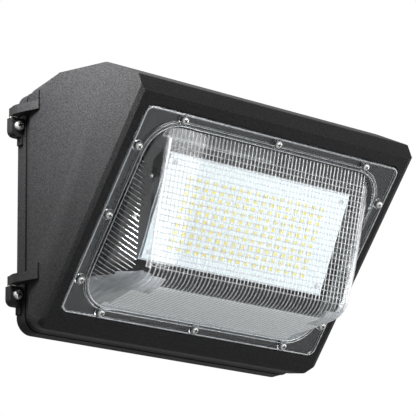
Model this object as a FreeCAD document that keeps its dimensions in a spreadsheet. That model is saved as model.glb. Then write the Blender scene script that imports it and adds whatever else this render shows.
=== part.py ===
import FreeCAD, Part
import math
import os
import Sketcher
from FreeCAD import Placement, Rotation, Vector

# Wall pack light, in millimetres. The origin is the centre of the wall face of the
# back box: +X runs right along the wall, +Y into the wall, +Z up. The front housing
# hangs on the left of the box as a door and carries the lens, the lamp and the driver.

SIZES = [
    # back box
    ("box_width", 322.4),
    ("box_height", 234.0),
    ("box_depth", 14.0),
    ("box_corner", 15.0),
    ("box_floor", 3.5),
    ("box_land", 6.5),
    ("seal_width", 3.0),
    ("seal_depth", 2.5),
    ("seal_inset", 1.7),
    ("fixing_span_x", 230.0),
    ("fixing_span_z", 140.0),
    ("fixing_bore", 6.5),
    ("entry_bore", 22.4),
    ("entry_drop", 45.0),
    ("grommet_flange", 28.0),
    ("grommet_sink", 1.2),
    ("grommet_bore", 10.0),
    ("post_width", 10.0),
    ("post_height", 5.0),
    ("earth_post_x", 40.0),
    # hinge and closing lugs
    ("hinge_out", 5.15),
    ("hinge_in", 4.8),
    ("arm_high", 89.4),
    ("arm_low", 73.9),
    ("arm_thick", 8.4),
    ("arm_half", 4.3),
    ("arm_reach", 40.0),
    ("arm_bend_in", 14.5),
    ("arm_bend_out", 6.4),
    ("arm_bend_round", 14.0),
    ("arm_pad", 1.6),
    ("pad_high_rise", 18.0),
    ("pad_low_rise", 15.0),
    ("ear_height", 18.0),
    ("ear_depth", 8.6),
    ("ear_round", 6.0),
    ("ear_half", 4.0),
    ("rib_length", 7.5),
    ("rib_width", 7.0),
    ("rib_out", 2.4),
    ("root", 2.0),
    ("pin_width", 3.5),
    ("pin_depth", 15.0),
    ("pin_neck", 2.0),
    ("neck_play", 0.6),
    ("washer_width", 8.0),
    ("washer_thick", 0.8),
    ("lock_drop", 8.8),
    ("lock_side", 3.5),
    ("lug_out", 9.0),
    ("lug_half", 9.0),
    ("lug_front", 11.0),
    ("lug_back", 3.0),
    ("lug_bore", 5.6),
    ("lug_washer_width", 11.4),
    # front housing
    ("housing_width", 329.5),
    ("housing_wall", 4.0),
    ("corner_step_side", 10.0),
    ("corner_step_rise", 4.5),
    ("mouth_step", 0.65),
    ("strip_depth", 9.6),
    ("rear_rise", 117.0),
    ("ridge_in", 69.7),
    ("ridge_rise", 115.9),
    ("brow_in", 143.6),
    ("brow_rise", 104.4),
    ("lip_in", 189.0),
    ("lip_rise", 80.0),
    ("hood_in", 195.1),
    ("hood_rise", 62.9),
    ("toe_in", 49.1),
    ("toe_drop", 112.2),
    ("heel_in", 37.1),
    ("heel_drop", 118.9),
    ("sole_drop", 117.2),
    ("heel_round", 9.0),
    ("edge_round", 1.0),
    ("ridge_round", 20.0),
    ("brow_round", 24.0),
    ("lip_round", 3.0),
    ("rim_bevel_face", 2.5),
    ("rim_bevel_side", 5.0),
    ("panel_thick", 8.0),
    ("boss_width", 10.0),
    ("boss_height", 8.0),
    # lens, its seal and its screws
    ("rim_top", 11.5),
    ("rim_bottom", 9.1),
    ("rim_side", 11.5),
    ("recess_gap", 1.2),
    ("lens_corner", 8.0),
    ("lens_thick", 3.2),
    ("lens_proud", 0.3),
    ("lens_rim_width", 1.8),
    ("lens_rim_height", 1.0),
    ("lens_seal_thick", 1.5),
    ("lens_seal_width", 4.0),
    ("seal_lip", 1.5),
    ("opening_in", 15.5),
    ("opening_corner", 25.0),
    ("bead_width", 3.0),
    ("bead_height", 2.0),
    ("screw_row_x", 110.4),
    ("screw_end_in", 6.0),
    ("screw_side_in", 7.0),
    ("screw_side_high", 64.6),
    ("screw_side_mid", 4.0),
    ("screw_side_low", 69.5),
    ("dome_side_in", 16.0),
    ("dome_end_in", 12.85),
    ("dome_corner", 30.0),
    ("dome_wall", 2.4),
    ("dome_top_run", 7.3),
    ("dome_top_rise", 4.9),
    ("dome_foot_run", 54.0),
    ("dome_foot_rise", 57.5),
    ("dome_side_run", 14.0),
    ("dome_face_corner", 14.0),
    ("dome_edge_depth", 2.5),
    ("dome_edge_side", 6.0),
    ("dome_edge_end", 2.0),
    ("prism_pitch", 6.2),
    ("prism_depth", 0.8),
    ("prism_clear", 0.5),
    # lamp
    ("board_in", 140.1),
    ("board_drop", 19.5),
    ("board_tilt", 27.8),
    ("board_width", 216.0),
    ("board_height", 97.0),
    ("board_thick", 1.6),
    ("pad_thick", 0.5),
    ("chip_pitch_x", 10.0),
    ("chip_pitch_y", 7.25),
    ("chip_drop", 2.0),
    ("chip_size", 3.4),
    ("chip_thick", 0.7),
    ("board_screw_in_x", 7.0),
    ("board_screw_in_y", 6.5),
    ("sink_base", 6.0),
    ("sink_margin", 2.0),
    ("fin_height", 24.0),
    ("fin_thick", 2.2),
    ("pad_side_in", 14.0),
    ("pad_end_in", 11.0),
    ("lead_hole_y", 33.0),
    ("lead_hole_width", 9.0),
    # brackets that carry the lamp
    ("bracket_thick", 2.0),
    ("bracket_low", 38.0),
    ("bracket_high", 44.0),
    ("bracket_back", 12.0),
    ("bracket_front", 2.0),
    ("tab_reach", 149.0),
    ("tab_x", 144.0),
    ("tab_y", 30.0),
    ("tab_width", 14.0),
    ("end_screw_high", 24.0),
    ("end_screw_high_back", 14.0),
    ("end_screw_low", 16.0),
    ("end_screw_low_back", 20.0),
    # driver and terminal block
    ("driver_length", 150.0),
    ("driver_width", 58.0),
    ("driver_height", 34.0),
    ("driver_in", 66.0),
    ("driver_drop", 14.5),
    ("driver_foot", 17.0),
    ("foot_thick", 1.6),
    ("foot_width", 24.0),
    ("block_x", 124.0),
    ("block_length", 34.0),
    ("block_width", 20.0),
    ("block_height", 16.0),
    ("way_pitch", 11.0),
    ("way_bore", 4.6),
    ("way_depth", 3.0),
    ("way_reach", 3.5),
    ("way_rise", 4.5),
    ("block_neck", 4.0),
    ("block_shift", 4.0),
    ("lead_width", 2.6),
    ("lead_bend", 4.0),
    ("lead_step", 5.0),
    # screws
    ("large_head", 9.4),
    ("large_shank", 4.8),
    ("small_head", 6.8),
    ("small_shank", 3.4),
    ("fine_head", 5.4),
    ("fine_shank", 2.5),
    ("head_rise", 0.34),
    ("head_draft", -22.0),
    ("cross_half", 0.07),
    ("cross_reach", 0.24),
    ("cross_depth", 0.6),
    ("closing_grip", 7.0),
    ("lens_screw_grip", 4.2),
    ("short_reach", 6.5),
    ("fine_reach", 6.0),
    # clearances
    ("tap_rest", 0.6),
    ("running_fit", 0.05),
    ("screw_fit", 0.06),
    ("hole_fit", 0.4),
    ("seam_gap", 0.3),
]

doc = FreeCAD.newDocument("wall_pack_light")
sheet = doc.addObject("Spreadsheet::Sheet", "Sizes")


class Size:
    """A length or angle: its value now and the rule that finds it from the sheet."""

    def __init__(self, value, rule):
        self.value = float(value)
        self.rule = rule

    def __add__(self, other):
        return joined(self, "+", other)

    def __radd__(self, other):
        return joined(other, "+", self)

    def __sub__(self, other):
        return joined(self, "-", other)

    def __rsub__(self, other):
        return joined(other, "-", self)

    def __mul__(self, other):
        return joined(self, "*", other)

    def __rmul__(self, other):
        return joined(other, "*", self)

    def __truediv__(self, other):
        return joined(self, "/", other)

    def __neg__(self):
        return Size(-self.value, "(-1 * %s)" % self.rule)


def as_size(number):
    if isinstance(number, Size):
        return number
    return Size(number, repr(number))


def joined(left, sign, right):
    left = as_size(left)
    right = as_size(right)
    if sign == "+":
        value = left.value + right.value
    elif sign == "-":
        value = left.value - right.value
    elif sign == "*":
        value = left.value * right.value
    else:
        value = left.value / right.value
    return Size(value, "(%s %s %s)" % (left.rule, sign, right.rule))


def sine(angle):
    return Size(math.sin(math.radians(angle.value)), "sin(%s)" % angle.rule)


def cosine(angle):
    return Size(math.cos(math.radians(angle.value)), "cos(%s)" % angle.rule)


def slope(rise, run):
    value = math.degrees(math.atan(rise.value / run.value))
    return Size(value, "atan(%s / %s)" % (rise.rule, run.rule))


def length_of(a, b):
    total = a * a + b * b
    return Size(math.sqrt(total.value), "sqrt(%s)" % total.rule)


class Sheet:
    """The driving sizes, read by name."""

    def __init__(self, rows):
        for number, (name, value) in enumerate(rows, start=1):
            sheet.set("A%d" % number, name)
            sheet.set("B%d" % number, str(value))
            sheet.setAlias("B%d" % number, name)
        doc.recompute()

    def __getattr__(self, name):
        return Size(sheet.get(name), "Sizes.%s" % name)


S = Sheet(SIZES)


# Frames: the part's own, the rim frame that the lens lies in, and the board's.

half_house = S.housing_width / 2
rim_run = S.hood_in - S.toe_in
rim_fall = S.hood_rise + S.toe_drop
rim_tilt = slope(rim_run, rim_fall)
rim_length = length_of(rim_run, rim_fall)
lens_half_y = (rim_length - S.rim_top - S.rim_bottom) / 2
lens_half_x = half_house - S.rim_side
rim_reach = S.rim_top + lens_half_y
board_tilt = Size(S.board_tilt.value, "(1 deg * Sizes.board_tilt)")


class Tilted:
    """A plane leaning back from the wall: x along the wall, y up the slope, z outward."""

    def __init__(self, y, z, tilt):
        self.y = y
        self.z = z
        self.tilt = tilt
        self.angle = Size(90 + tilt.value, "(90 deg + %s)" % tilt.rule)

    def world(self, x, up, out):
        s = math.sin(math.radians(self.tilt.value))
        c = math.cos(math.radians(self.tilt.value))
        up = as_size(up).value
        out = as_size(out).value
        y = self.y.value - up * s - out * c
        z = self.z.value + up * c - out * s
        return Vector(as_size(x).value, y, z)


rim = Tilted(-S.hood_in + rim_reach * sine(rim_tilt), S.hood_rise - rim_reach * cosine(rim_tilt), rim_tilt)
lamp = Tilted(-S.board_in, -S.board_drop, board_tilt)

lean = Size(rim_tilt.value - board_tilt.value, "(%s - %s)" % (rim_tilt.rule, board_tilt.rule))
lamp_shift_y = lamp.y - rim.y
lamp_shift_z = lamp.z - rim.z
lamp_up = -lamp_shift_y * sine(rim_tilt) + lamp_shift_z * cosine(rim_tilt)
lamp_out = -lamp_shift_y * cosine(rim_tilt) - lamp_shift_z * sine(rim_tilt)


def lamp_in_rim(up, out):
    """A point of the board's frame, given in the rim frame."""
    v = lamp_up + up * cosine(lean) + out * sine(lean)
    w = lamp_out - up * sine(lean) + out * cosine(lean)
    return v, w


# Drawing helpers.


def bind(item, path, size):
    item.setExpression(path, as_size(size).rule)


def turned_about_x(y, z, angle):
    return Placement(Vector(0, y.value, z.value), Rotation(Vector(1, 0, 0), angle.value))


def place_on(body, frame):
    body.Placement = turned_about_x(frame.y, frame.z, frame.angle)
    bind(body, "Placement.Base.y", frame.y)
    bind(body, "Placement.Base.z", frame.z)
    bind(body, "Placement.Rotation.Angle", frame.angle)


def make_body(label, frame=None):
    body = doc.addObject("PartDesign::Body", label)
    if frame is not None:
        place_on(body, frame)
    return body


def make_sketch(body, plane, name, offset=None, frame=None):
    planes = {item.Role: item for item in body.Origin.OriginFeatures}
    sketch = body.newObject("Sketcher::SketchObject", name)
    sketch.AttachmentSupport = (planes[plane + "_Plane"], [""])
    sketch.MapMode = "FlatFace"
    if offset is not None:
        offset = as_size(offset)
        sketch.AttachmentOffset = Placement(Vector(0, 0, offset.value), Rotation())
        bind(sketch, "AttachmentOffset.Base.z", offset)
    if frame is not None:
        y, z, angle = frame
        sketch.AttachmentOffset = turned_about_x(y, z, angle)
        bind(sketch, "AttachmentOffset.Base.y", y)
        bind(sketch, "AttachmentOffset.Base.z", z)
        bind(sketch, "AttachmentOffset.Rotation.Angle", angle)
    return sketch


def fix_point(sketch, index, end, x, y):
    for kind, size in (("DistanceX", as_size(x)), ("DistanceY", as_size(y))):
        if size.value < 0:
            rule = Sketcher.Constraint(kind, index, end, -1, 1, -size.value)
            size = -size
        else:
            rule = Sketcher.Constraint(kind, -1, 1, index, end, size.value)
        number = sketch.addConstraint(rule)
        bind(sketch, "Constraints[%d]" % number, size)


def draw_outline(sketch, points):
    spots = [Vector(as_size(x).value, as_size(y).value, 0) for x, y in points]
    lines = []
    for number, spot in enumerate(spots):
        after = spots[(number + 1) % len(spots)]
        lines.append(sketch.addGeometry(Part.LineSegment(spot, after), False))
    for number, line in enumerate(lines):
        after = lines[(number + 1) % len(lines)]
        sketch.addConstraint(Sketcher.Constraint("Coincident", line, 2, after, 1))
        fix_point(sketch, line, 1, *points[number])


def draw_box(sketch, x0, y0, x1, y1):
    draw_outline(sketch, [(x0, y0), (x1, y0), (x1, y1), (x0, y1)])


def draw_circle(sketch, x, y, width):
    width = as_size(width)
    centre = Vector(as_size(x).value, as_size(y).value, 0)
    index = sketch.addGeometry(Part.Circle(centre, Vector(0, 0, 1), width.value / 2), False)
    fix_point(sketch, index, 3, x, y)
    number = sketch.addConstraint(Sketcher.Constraint("Diameter", index, width.value))
    bind(sketch, "Constraints[%d]" % number, width)


def draw_rounded(sketch, half_x, half_y, radius, y=0):
    """A rectangle with four equal round corners about a centre on the y axis."""
    y = as_size(y)
    a = half_x - radius
    b = half_y - radius
    r = radius.value
    corners = [(a, y + b, 0), (-a, y + b, 90), (-a, y - b, 180), (a, y - b, 270)]
    arcs = []
    for cx, cy, start in corners:
        circle = Part.Circle(Vector(cx.value, cy.value, 0), Vector(0, 0, 1), r)
        arc = Part.ArcOfCircle(circle, math.radians(start), math.radians(start + 90))
        arcs.append(sketch.addGeometry(arc, False))
    for number, arc in enumerate(arcs):
        after = arcs[(number + 1) % 4]
        start = sketch.getPoint(arc, 2)
        stop = sketch.getPoint(after, 1)
        line = sketch.addGeometry(Part.LineSegment(start, stop), False)
        sketch.addConstraint(Sketcher.Constraint("Tangent", arc, 2, line, 1))
        sketch.addConstraint(Sketcher.Constraint("Tangent", line, 2, after, 1))
    for arc, (cx, cy, start) in zip(arcs, corners):
        fix_point(sketch, arc, 3, cx, cy)
    number = sketch.addConstraint(Sketcher.Constraint("Radius", arcs[0], r))
    bind(sketch, "Constraints[%d]" % number, radius)
    for arc in arcs[1:]:
        sketch.addConstraint(Sketcher.Constraint("Equal", arcs[0], arc))


def pad(body, sketch, name, length, symmetric=False, backward=False):
    feature = body.newObject("PartDesign::Pad", name)
    feature.Profile = sketch
    feature.Reversed = backward
    if symmetric:
        feature.SideType = "Symmetric"
    bind(feature, "Length", length)
    return feature


def pocket(body, sketch, name, length, symmetric=False, backward=False):
    doc.recompute()
    before = body.Shape.Volume
    feature = body.newObject("PartDesign::Pocket", name)
    feature.Profile = sketch
    feature.Reversed = backward
    if symmetric:
        feature.SideType = "Symmetric"
    bind(feature, "Length", length)
    doc.recompute()
    if body.Shape.Volume > before - 0.5:
        raise RuntimeError("%s cuts nothing" % name)
    return feature


def revolve(body, sketch, name):
    feature = body.newObject("PartDesign::Revolution", name)
    feature.Profile = sketch
    feature.ReferenceAxis = (sketch, ["V_Axis"])
    feature.Angle = 360
    return feature


def edges_where(shape, test):
    names = []
    for number, edge in enumerate(shape.Edges, start=1):
        middle = edge.valueAt((edge.FirstParameter + edge.LastParameter) / 2)
        ends = [vertex.Point for vertex in edge.Vertexes]
        if len(ends) == 2 and test(middle, ends[0], ends[1]):
            names.append("Edge%d" % number)
    return names


def round_edges(body, name, radius, test):
    doc.recompute()
    base = body.Tip
    feature = body.newObject("PartDesign::Fillet", name)
    feature.Base = (base, edges_where(base.Shape, test))
    bind(feature, "Radius", radius)
    return feature


def near(a, b, reach=0.05):
    return abs(a - as_size(b).value) < reach


def runs_along(axis, a, b):
    """True for an edge parallel to the axis of that number."""
    others = [n for n in (0, 1, 2) if n != axis]
    return all(near(a[n], b[n]) for n in others) and not near(a[axis], b[axis])


def copies(label, form, placements):
    """One node of equal pieces: the form's solid at each placement."""
    doc.recompute()
    solids = []
    for placement in placements:
        solid = form.Shape.copy()
        solid.Placement = placement.multiply(solid.Placement)
        solids.append(solid)
    group = doc.addObject("Part::Feature", label)
    group.Shape = Part.makeCompound(solids)
    return group


def at(x, y, z, axis=Vector(0, 0, 1)):
    spot = Vector(as_size(x).value, as_size(y).value, as_size(z).value)
    return Placement(spot, Rotation(Vector(0, 0, 1), axis))


def on_frame(frame, x, up, out, axis=Vector(0, 0, 1)):
    turn = Rotation(Vector(1, 0, 0), frame.angle.value)
    return Placement(frame.world(x, up, out), turn.multiply(Rotation(Vector(0, 0, 1), axis)))


# Screws: each form stands on its seat at z = 0, head up, with a cross recess. Shank and
# head are drawn with twelve flats, their corners on the true round.


def draw_flats(sketch, width, flats=12):
    turns = [2 * math.pi * step / flats for step in range(flats)]
    draw_outline(sketch, [(width / 2 * math.cos(turn), width / 2 * math.sin(turn)) for turn in turns])


def screw_form(name, head, shank, reach):
    body = make_body(name)
    sketch = make_sketch(body, "XY", name + "_head")
    rise = head * S.head_rise
    draw_flats(sketch, head)
    crown = pad(body, sketch, name + "_crown", rise)
    bind(crown, "TaperAngle", S.head_draft)
    sketch = make_sketch(body, "XY", name + "_shank")
    draw_flats(sketch, shank)
    pad(body, sketch, name + "_stem", reach, backward=True)
    cross = make_sketch(body, "XY", name + "_cross", rise)
    a = head * S.cross_half
    b = head * S.cross_reach
    draw_outline(cross, [
        (a, a), (b, a), (b, -a),
        (a, -a), (a, -b), (-a, -b),
        (-a, -a), (-b, -a), (-b, a),
        (-a, a), (-a, b), (a, b),
    ])
    pocket(body, cross, name + "_recess", rise * S.cross_depth)
    return body


closing_reach = S.lug_front + S.washer_thick + S.closing_grip
lens_reach = S.lens_thick + S.bead_height + S.lens_screw_grip
large_screw = screw_form("large_screw_form", S.large_head, S.large_shank, closing_reach)
lock_screw = screw_form("lock_screw_form", S.large_head, S.large_shank, S.ear_depth - S.tap_rest)
lens_screw = screw_form("lens_screw_form", S.small_head, S.small_shank, lens_reach)
short_screw = screw_form("short_screw_form", S.small_head, S.small_shank, S.short_reach)
fine_screw = screw_form("fine_screw_form", S.fine_head, S.fine_shank, S.fine_reach)


# Back box: a shallow cast tray against the wall, with a seal channel in its land,
# hinge ears on the left and closing lugs on the right.

half_box_x = S.box_width / 2
half_box_z = S.box_height / 2
hinge_x = -half_house - S.hinge_out
ear_tops = [S.arm_high - S.washer_thick, -S.arm_low - S.washer_thick]
lock_heights = [S.arm_high - S.lock_drop, -S.arm_low - S.lock_drop]
lug_x = half_house + S.lug_out
entry_z = -S.entry_drop
fixings = [(sx * S.fixing_span_x / 2, sz * S.fixing_span_z / 2) for sx in (-1, 1) for sz in (-1, 1)]

box = make_body("back_box")
outline = make_sketch(box, "XZ", "box_outline")
draw_rounded(outline, half_box_x, half_box_z, S.box_corner)
pad(box, outline, "box_block", S.box_depth)
hollow = make_sketch(box, "XZ", "box_hollow", S.box_depth)
draw_rounded(hollow, half_box_x - S.box_land, half_box_z - S.box_land, S.box_corner - S.box_land)
pocket(box, hollow, "box_tray", S.box_depth - S.box_floor)

for number, top in enumerate(ear_tops):
    ear = make_sketch(box, "XZ", "ear_%d" % number)
    ear_low = top - S.ear_height
    draw_box(ear, hinge_x - S.ear_half, ear_low, -half_box_x + S.root, top)
    pad(box, ear, "ear_plate_%d" % number, S.ear_depth)
    rib = make_sketch(box, "XZ", "ear_rib_%d" % number, S.ear_depth - S.rib_width)
    rib_foot = ear_low - S.rib_length
    draw_box(rib, -half_box_x - S.rib_out, rib_foot, -half_box_x + S.root, ear_low + S.root)
    pad(box, rib, "ear_rib_block_%d" % number, S.rib_width)


def ear_foot(m, a, b):
    low = any(near(m[2], top - S.ear_height) for top in ear_tops)
    return low and near(m[0], hinge_x - S.ear_half) and runs_along(1, a, b)


round_edges(box, "ear_rounding", S.ear_round, ear_foot)
for number, top in enumerate(ear_tops):
    bore = make_sketch(box, "XY", "pin_bore_%d" % number, top)
    draw_circle(bore, hinge_x, -S.hinge_in, S.pin_width + 2 * S.running_fit)
    pocket(box, bore, "pin_bore_cut_%d" % number, S.pin_depth + 0.5)
    lock = make_sketch(box, "XZ", "lock_hole_%d" % number, S.ear_depth)
    draw_circle(lock, hinge_x + S.lock_side, lock_heights[number], S.large_shank + 2 * S.screw_fit)
    pocket(box, lock, "lock_hole_cut_%d" % number, S.ear_depth)
    lug = make_sketch(box, "XZ", "box_lug_%d" % number, S.lug_back)
    z = lock_heights[number]
    draw_box(lug, half_box_x - 2, z - S.lug_half, lug_x + S.lug_half, z + S.lug_half)
    pad(box, lug, "box_lug_block_%d" % number, S.box_depth - S.lug_back - S.seam_gap)


def lug_corner(m, a, b):
    return near(m[0], lug_x + S.lug_half) and runs_along(1, a, b)


round_edges(box, "box_lug_rounding", S.lug_half - 2, lug_corner)
for number, z in enumerate(lock_heights):
    bore = make_sketch(box, "XZ", "box_lug_bore_%d" % number, S.box_depth)
    draw_circle(bore, lug_x, z, S.lug_bore)
    pocket(box, bore, "box_lug_bore_cut_%d" % number, S.box_depth)

post = make_sketch(box, "XZ", "earth_post", S.box_floor)
draw_circle(post, S.earth_post_x, entry_z, S.post_width)
pad(box, post, "earth_post_block", S.post_height)
tap = make_sketch(box, "XZ", "earth_tap", S.box_floor + S.post_height)
draw_circle(tap, S.earth_post_x, entry_z, S.small_shank + 2 * S.screw_fit)
pocket(box, tap, "earth_tap_cut", S.short_reach + S.tap_rest)
holes = make_sketch(box, "XZ", "fixing_holes", S.box_floor)
for x, z in fixings:
    draw_circle(holes, x, z, S.fixing_bore)
draw_circle(holes, 0, entry_z, S.entry_bore)
pocket(box, holes, "fixing_cut", S.box_floor)
sink = make_sketch(box, "XZ", "grommet_seat", S.grommet_sink)
draw_circle(sink, 0, entry_z, S.grommet_flange + 2 * S.hole_fit)
pocket(box, sink, "grommet_seat_cut", S.grommet_sink)
groove = make_sketch(box, "XZ", "seal_channel", S.box_depth)
seal_out = S.seal_inset - S.running_fit
seal_in = S.seal_inset + S.seal_width + S.running_fit
draw_rounded(groove, half_box_x - seal_out, half_box_z - seal_out, S.box_corner - seal_out)
draw_rounded(groove, half_box_x - seal_in, half_box_z - seal_in, S.box_corner - seal_in)
pocket(box, groove, "seal_channel_cut", S.seal_depth)


# Seal: a silicone cord in the box's channel, level with the seam.

seal = make_body("door_seal")
ring = make_sketch(seal, "XZ", "seal_ring", S.box_depth - S.seal_depth)
draw_rounded(ring, half_box_x - S.seal_inset, half_box_z - S.seal_inset, S.box_corner - S.seal_inset)
seal_edge = S.seal_inset + S.seal_width
draw_rounded(ring, half_box_x - seal_edge, half_box_z - seal_edge, S.box_corner - seal_edge)
pad(seal, ring, "seal_cord", S.seal_depth)


# Grommet: a rubber bush that grips the edge of the supply entry from both sides.

grommet = make_body("entry_grommet")
turned = make_sketch(grommet, "XY", "grommet_outline")
neck = S.entry_bore / 2 - S.running_fit
lip = S.grommet_flange / 2
draw_outline(turned, [
    (S.grommet_bore / 2, 0),
    (lip, 0),
    (lip, -S.grommet_sink),
    (neck, -S.grommet_sink),
    (neck, -S.box_floor),
    (lip, -S.box_floor),
    (lip - 2, -S.box_floor - 2.4),
    (S.grommet_bore / 2, -S.box_floor - 2.4),
])
revolve(grommet, turned, "grommet_turned")
grommet.Placement = Placement(Vector(0, 0, entry_z.value), Rotation())
bind(grommet, "Placement.Base.z", entry_z)

earth_seat = -S.box_floor - S.post_height
copies("earth_screw", short_screw, [at(S.earth_post_x, earth_seat, entry_z, Vector(0, -1, 0))])


# Front housing: the cast shell. Its side view is one outline, drawn through the
# hood, the sloping rim and the heel; a strip with the box's outline closes its back.

strip_back = S.box_depth
strip_front = S.box_depth + S.strip_depth
house = make_body("front_housing")
shell = make_sketch(house, "YZ", "side_view")
draw_outline(shell, [
    (-strip_front, -S.sole_drop),
    (-strip_front, S.rear_rise),
    (-S.ridge_in, S.ridge_rise),
    (-S.brow_in, S.brow_rise),
    (-S.lip_in, S.lip_rise),
    (-S.hood_in, S.hood_rise),
    (-S.toe_in, -S.toe_drop),
    (-S.heel_in, -S.heel_drop),
])
pad(house, shell, "shell_block", S.housing_width, symmetric=True)


def crest(y, z):
    return lambda m, a, b: near(m[1], -y) and near(m[2], z) and runs_along(0, a, b)


round_edges(house, "ridge_rounding", S.ridge_round, crest(S.ridge_in, S.ridge_rise))
round_edges(house, "brow_rounding", S.brow_round, crest(S.brow_in, S.brow_rise))
round_edges(house, "lip_rounding", S.lip_round, crest(S.lip_in, S.lip_rise))


def rim_side(m, a, b):
    """The two edges where the side faces meet the sloping rim."""
    high = max(a[2], b[2])
    low = min(a[2], b[2])
    return near(abs(m[0]), half_house) and near(high, S.hood_rise) and near(low, -S.toe_drop)


doc.recompute()
plain_shell = house.Tip
bevel = house.newObject("PartDesign::Chamfer", "rim_bevel")
bevel.Base = (plain_shell, edges_where(plain_shell.Shape, rim_side))
bevel.ChamferType = "Two distances"
bind(bevel, "Size", S.rim_bevel_side)
bind(bevel, "Size2", S.rim_bevel_face)

# The long edges are round at the back, where they meet the strip's corners, and run
# out to nearly sharp ones at the ridge and the toe.


def corner_waste(name, depth, side, level, radius):
    """What lies outside a rounded corner: side is -1 or 1, the level's sign says up or down."""
    sketch = make_sketch(house, "XZ", name, depth)
    out = -1 if level.value < 0 else 1
    edge_x = side * half_house
    x_in = edge_x - side * radius
    z_in = level - out * radius
    beyond_x = edge_x + side * S.root
    beyond_z = level + out * S.root
    ends = [(edge_x, z_in), (beyond_x, z_in), (beyond_x, beyond_z), (x_in, beyond_z), (x_in, level)]
    spots = [Vector(x.value, z.value, 0) for x, z in ends]
    lines = []
    for start, stop in zip(spots, spots[1:]):
        lines.append(sketch.addGeometry(Part.LineSegment(start, stop), False))
    centre = Vector(x_in.value, z_in.value, 0)
    middle = centre + Vector(side, out, 0).normalize() * radius.value
    arc = sketch.addGeometry(Part.Arc(spots[-1], middle, spots[0]), False)
    for before, after in zip(lines, lines[1:]):
        sketch.addConstraint(Sketcher.Constraint("Coincident", before, 2, after, 1))
    for line, (x, z) in zip(lines, ends):
        fix_point(sketch, line, 1, x, z)
    fix_point(sketch, lines[-1], 2, *ends[-1])
    for line, line_end, point in ((lines[-1], 2, spots[-1]), (lines[0], 1, spots[0])):
        gaps = [sketch.getPoint(arc, arc_end).distanceToPoint(point) for arc_end in (1, 2)]
        arc_end = 1 if gaps[0] < gaps[1] else 2
        sketch.addConstraint(Sketcher.Constraint("Coincident", arc, arc_end, line, line_end))
    number = sketch.addConstraint(Sketcher.Constraint("Radius", arc, radius.value))
    bind(sketch, "Constraints[%d]" % number, radius)
    return sketch


top_rounds = [(strip_front, S.rear_rise, S.box_corner), (S.ridge_in, S.ridge_rise, S.edge_round)]
sole_rounds = [
    (strip_front, -S.sole_drop, S.box_corner),
    (S.heel_in, -S.heel_drop, S.heel_round),
    (S.toe_in, -S.toe_drop, S.edge_round),
]
for side, hand in ((-1, "left"), (1, "right")):
    for level, stations in (("top", top_rounds), ("sole", sole_rounds)):
        name = "%s_%s" % (hand, level)
        waste = []
        for number, (depth, rise, radius) in enumerate(stations):
            waste.append(corner_waste("%s_waste_%d" % (name, number), depth, side, rise, radius))
        rounding = house.newObject("PartDesign::SubtractiveLoft", name + "_rounding")
        rounding.Profile = waste[0]
        rounding.Sections = waste[1:]
        rounding.Ruled = True

strip = make_sketch(house, "XZ", "strip_outline", strip_back)
draw_rounded(strip, half_box_x, half_box_z, S.box_corner)
pad(house, strip, "strip_block", S.strip_depth + 1)

# The inside follows the outside one wall in, and one panel in behind the rim. Towards
# the sides it steps in under the round edges.
wall = S.housing_wall
inner_hood_y = -S.hood_in + S.panel_thick * cosine(rim_tilt) + wall * sine(rim_tilt)
inner_hood_z = S.hood_rise + S.panel_thick * sine(rim_tilt) - wall * cosine(rim_tilt)
inner_toe_y = -S.toe_in + S.panel_thick * cosine(rim_tilt) + wall * sine(rim_tilt)
inner_toe_z = -S.toe_drop + S.panel_thick * sine(rim_tilt) - wall * cosine(rim_tilt)
room_width = S.housing_width - 2 * wall
for name, step, width in (
    ("middle", as_size(0), room_width - 2 * S.corner_step_side),
    ("sides", S.corner_step_rise, room_width),
):
    room = make_sketch(house, "YZ", "inside_view_" + name)
    draw_outline(room, [
        (-strip_front, -S.sole_drop + wall + step),
        (-strip_front, S.rear_rise - wall - step),
        (-S.ridge_in, S.ridge_rise - wall - step),
        (-S.brow_in + 1, S.brow_rise - wall - step),
        (-S.lip_in + 1.5 * wall + step, S.lip_rise - 1.5 * wall - step),
        (inner_hood_y, inner_hood_z),
        (inner_toe_y, inner_toe_z + step),
        (-S.heel_in, -S.heel_drop + wall + step),
    ])
    pocket(house, room, "inside_cut_" + name, width, symmetric=True)
mouth = make_sketch(house, "XZ", "mouth", strip_front + 0.5)
mouth_in = S.box_land + S.mouth_step
draw_rounded(mouth, half_box_x - mouth_in, half_box_z - mouth_in, S.box_corner - S.box_land)
pocket(house, mouth, "mouth_cut", S.strip_depth + 0.5)

# Lens recess with the channel for its seal, and the opening through the panel.
rim_frame = (rim.y, rim.z, rim.angle)
recess_depth = S.lens_thick - S.lens_proud
recess = make_sketch(house, "XY", "lens_recess", frame=rim_frame)
draw_rounded(recess, lens_half_x + S.recess_gap, lens_half_y + S.recess_gap, S.lens_corner + S.recess_gap)
pocket(house, recess, "lens_recess_cut", recess_depth)
opening_x = lens_half_x - S.opening_in
opening_y = lens_half_y - S.opening_in
opening = make_sketch(house, "XY", "lens_opening", frame=rim_frame)
draw_rounded(opening, opening_x, opening_y, S.opening_corner)
pocket(house, opening, "lens_opening_cut", S.panel_thick + 1)


def in_rim(depth):
    """The rim frame moved back by a depth along its own normal."""
    return (rim.y + depth * cosine(rim_tilt), rim.z + depth * sine(rim_tilt), rim.angle)


channel = make_sketch(house, "XY", "lens_seal_channel", frame=in_rim(recess_depth))
ring_in = S.opening_in - S.seal_lip
ring_out = ring_in - S.lens_seal_width


def draw_ring(sketch, fit):
    """The lens seal's ring, wider by a fit on both its sides."""
    for inset in (ring_out - fit, ring_in + fit):
        corner = S.opening_corner + S.opening_in - inset
        draw_rounded(sketch, lens_half_x - inset, lens_half_y - inset, corner)


draw_ring(channel, S.running_fit)
pocket(house, channel, "lens_seal_channel_cut", S.lens_seal_thick)

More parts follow.
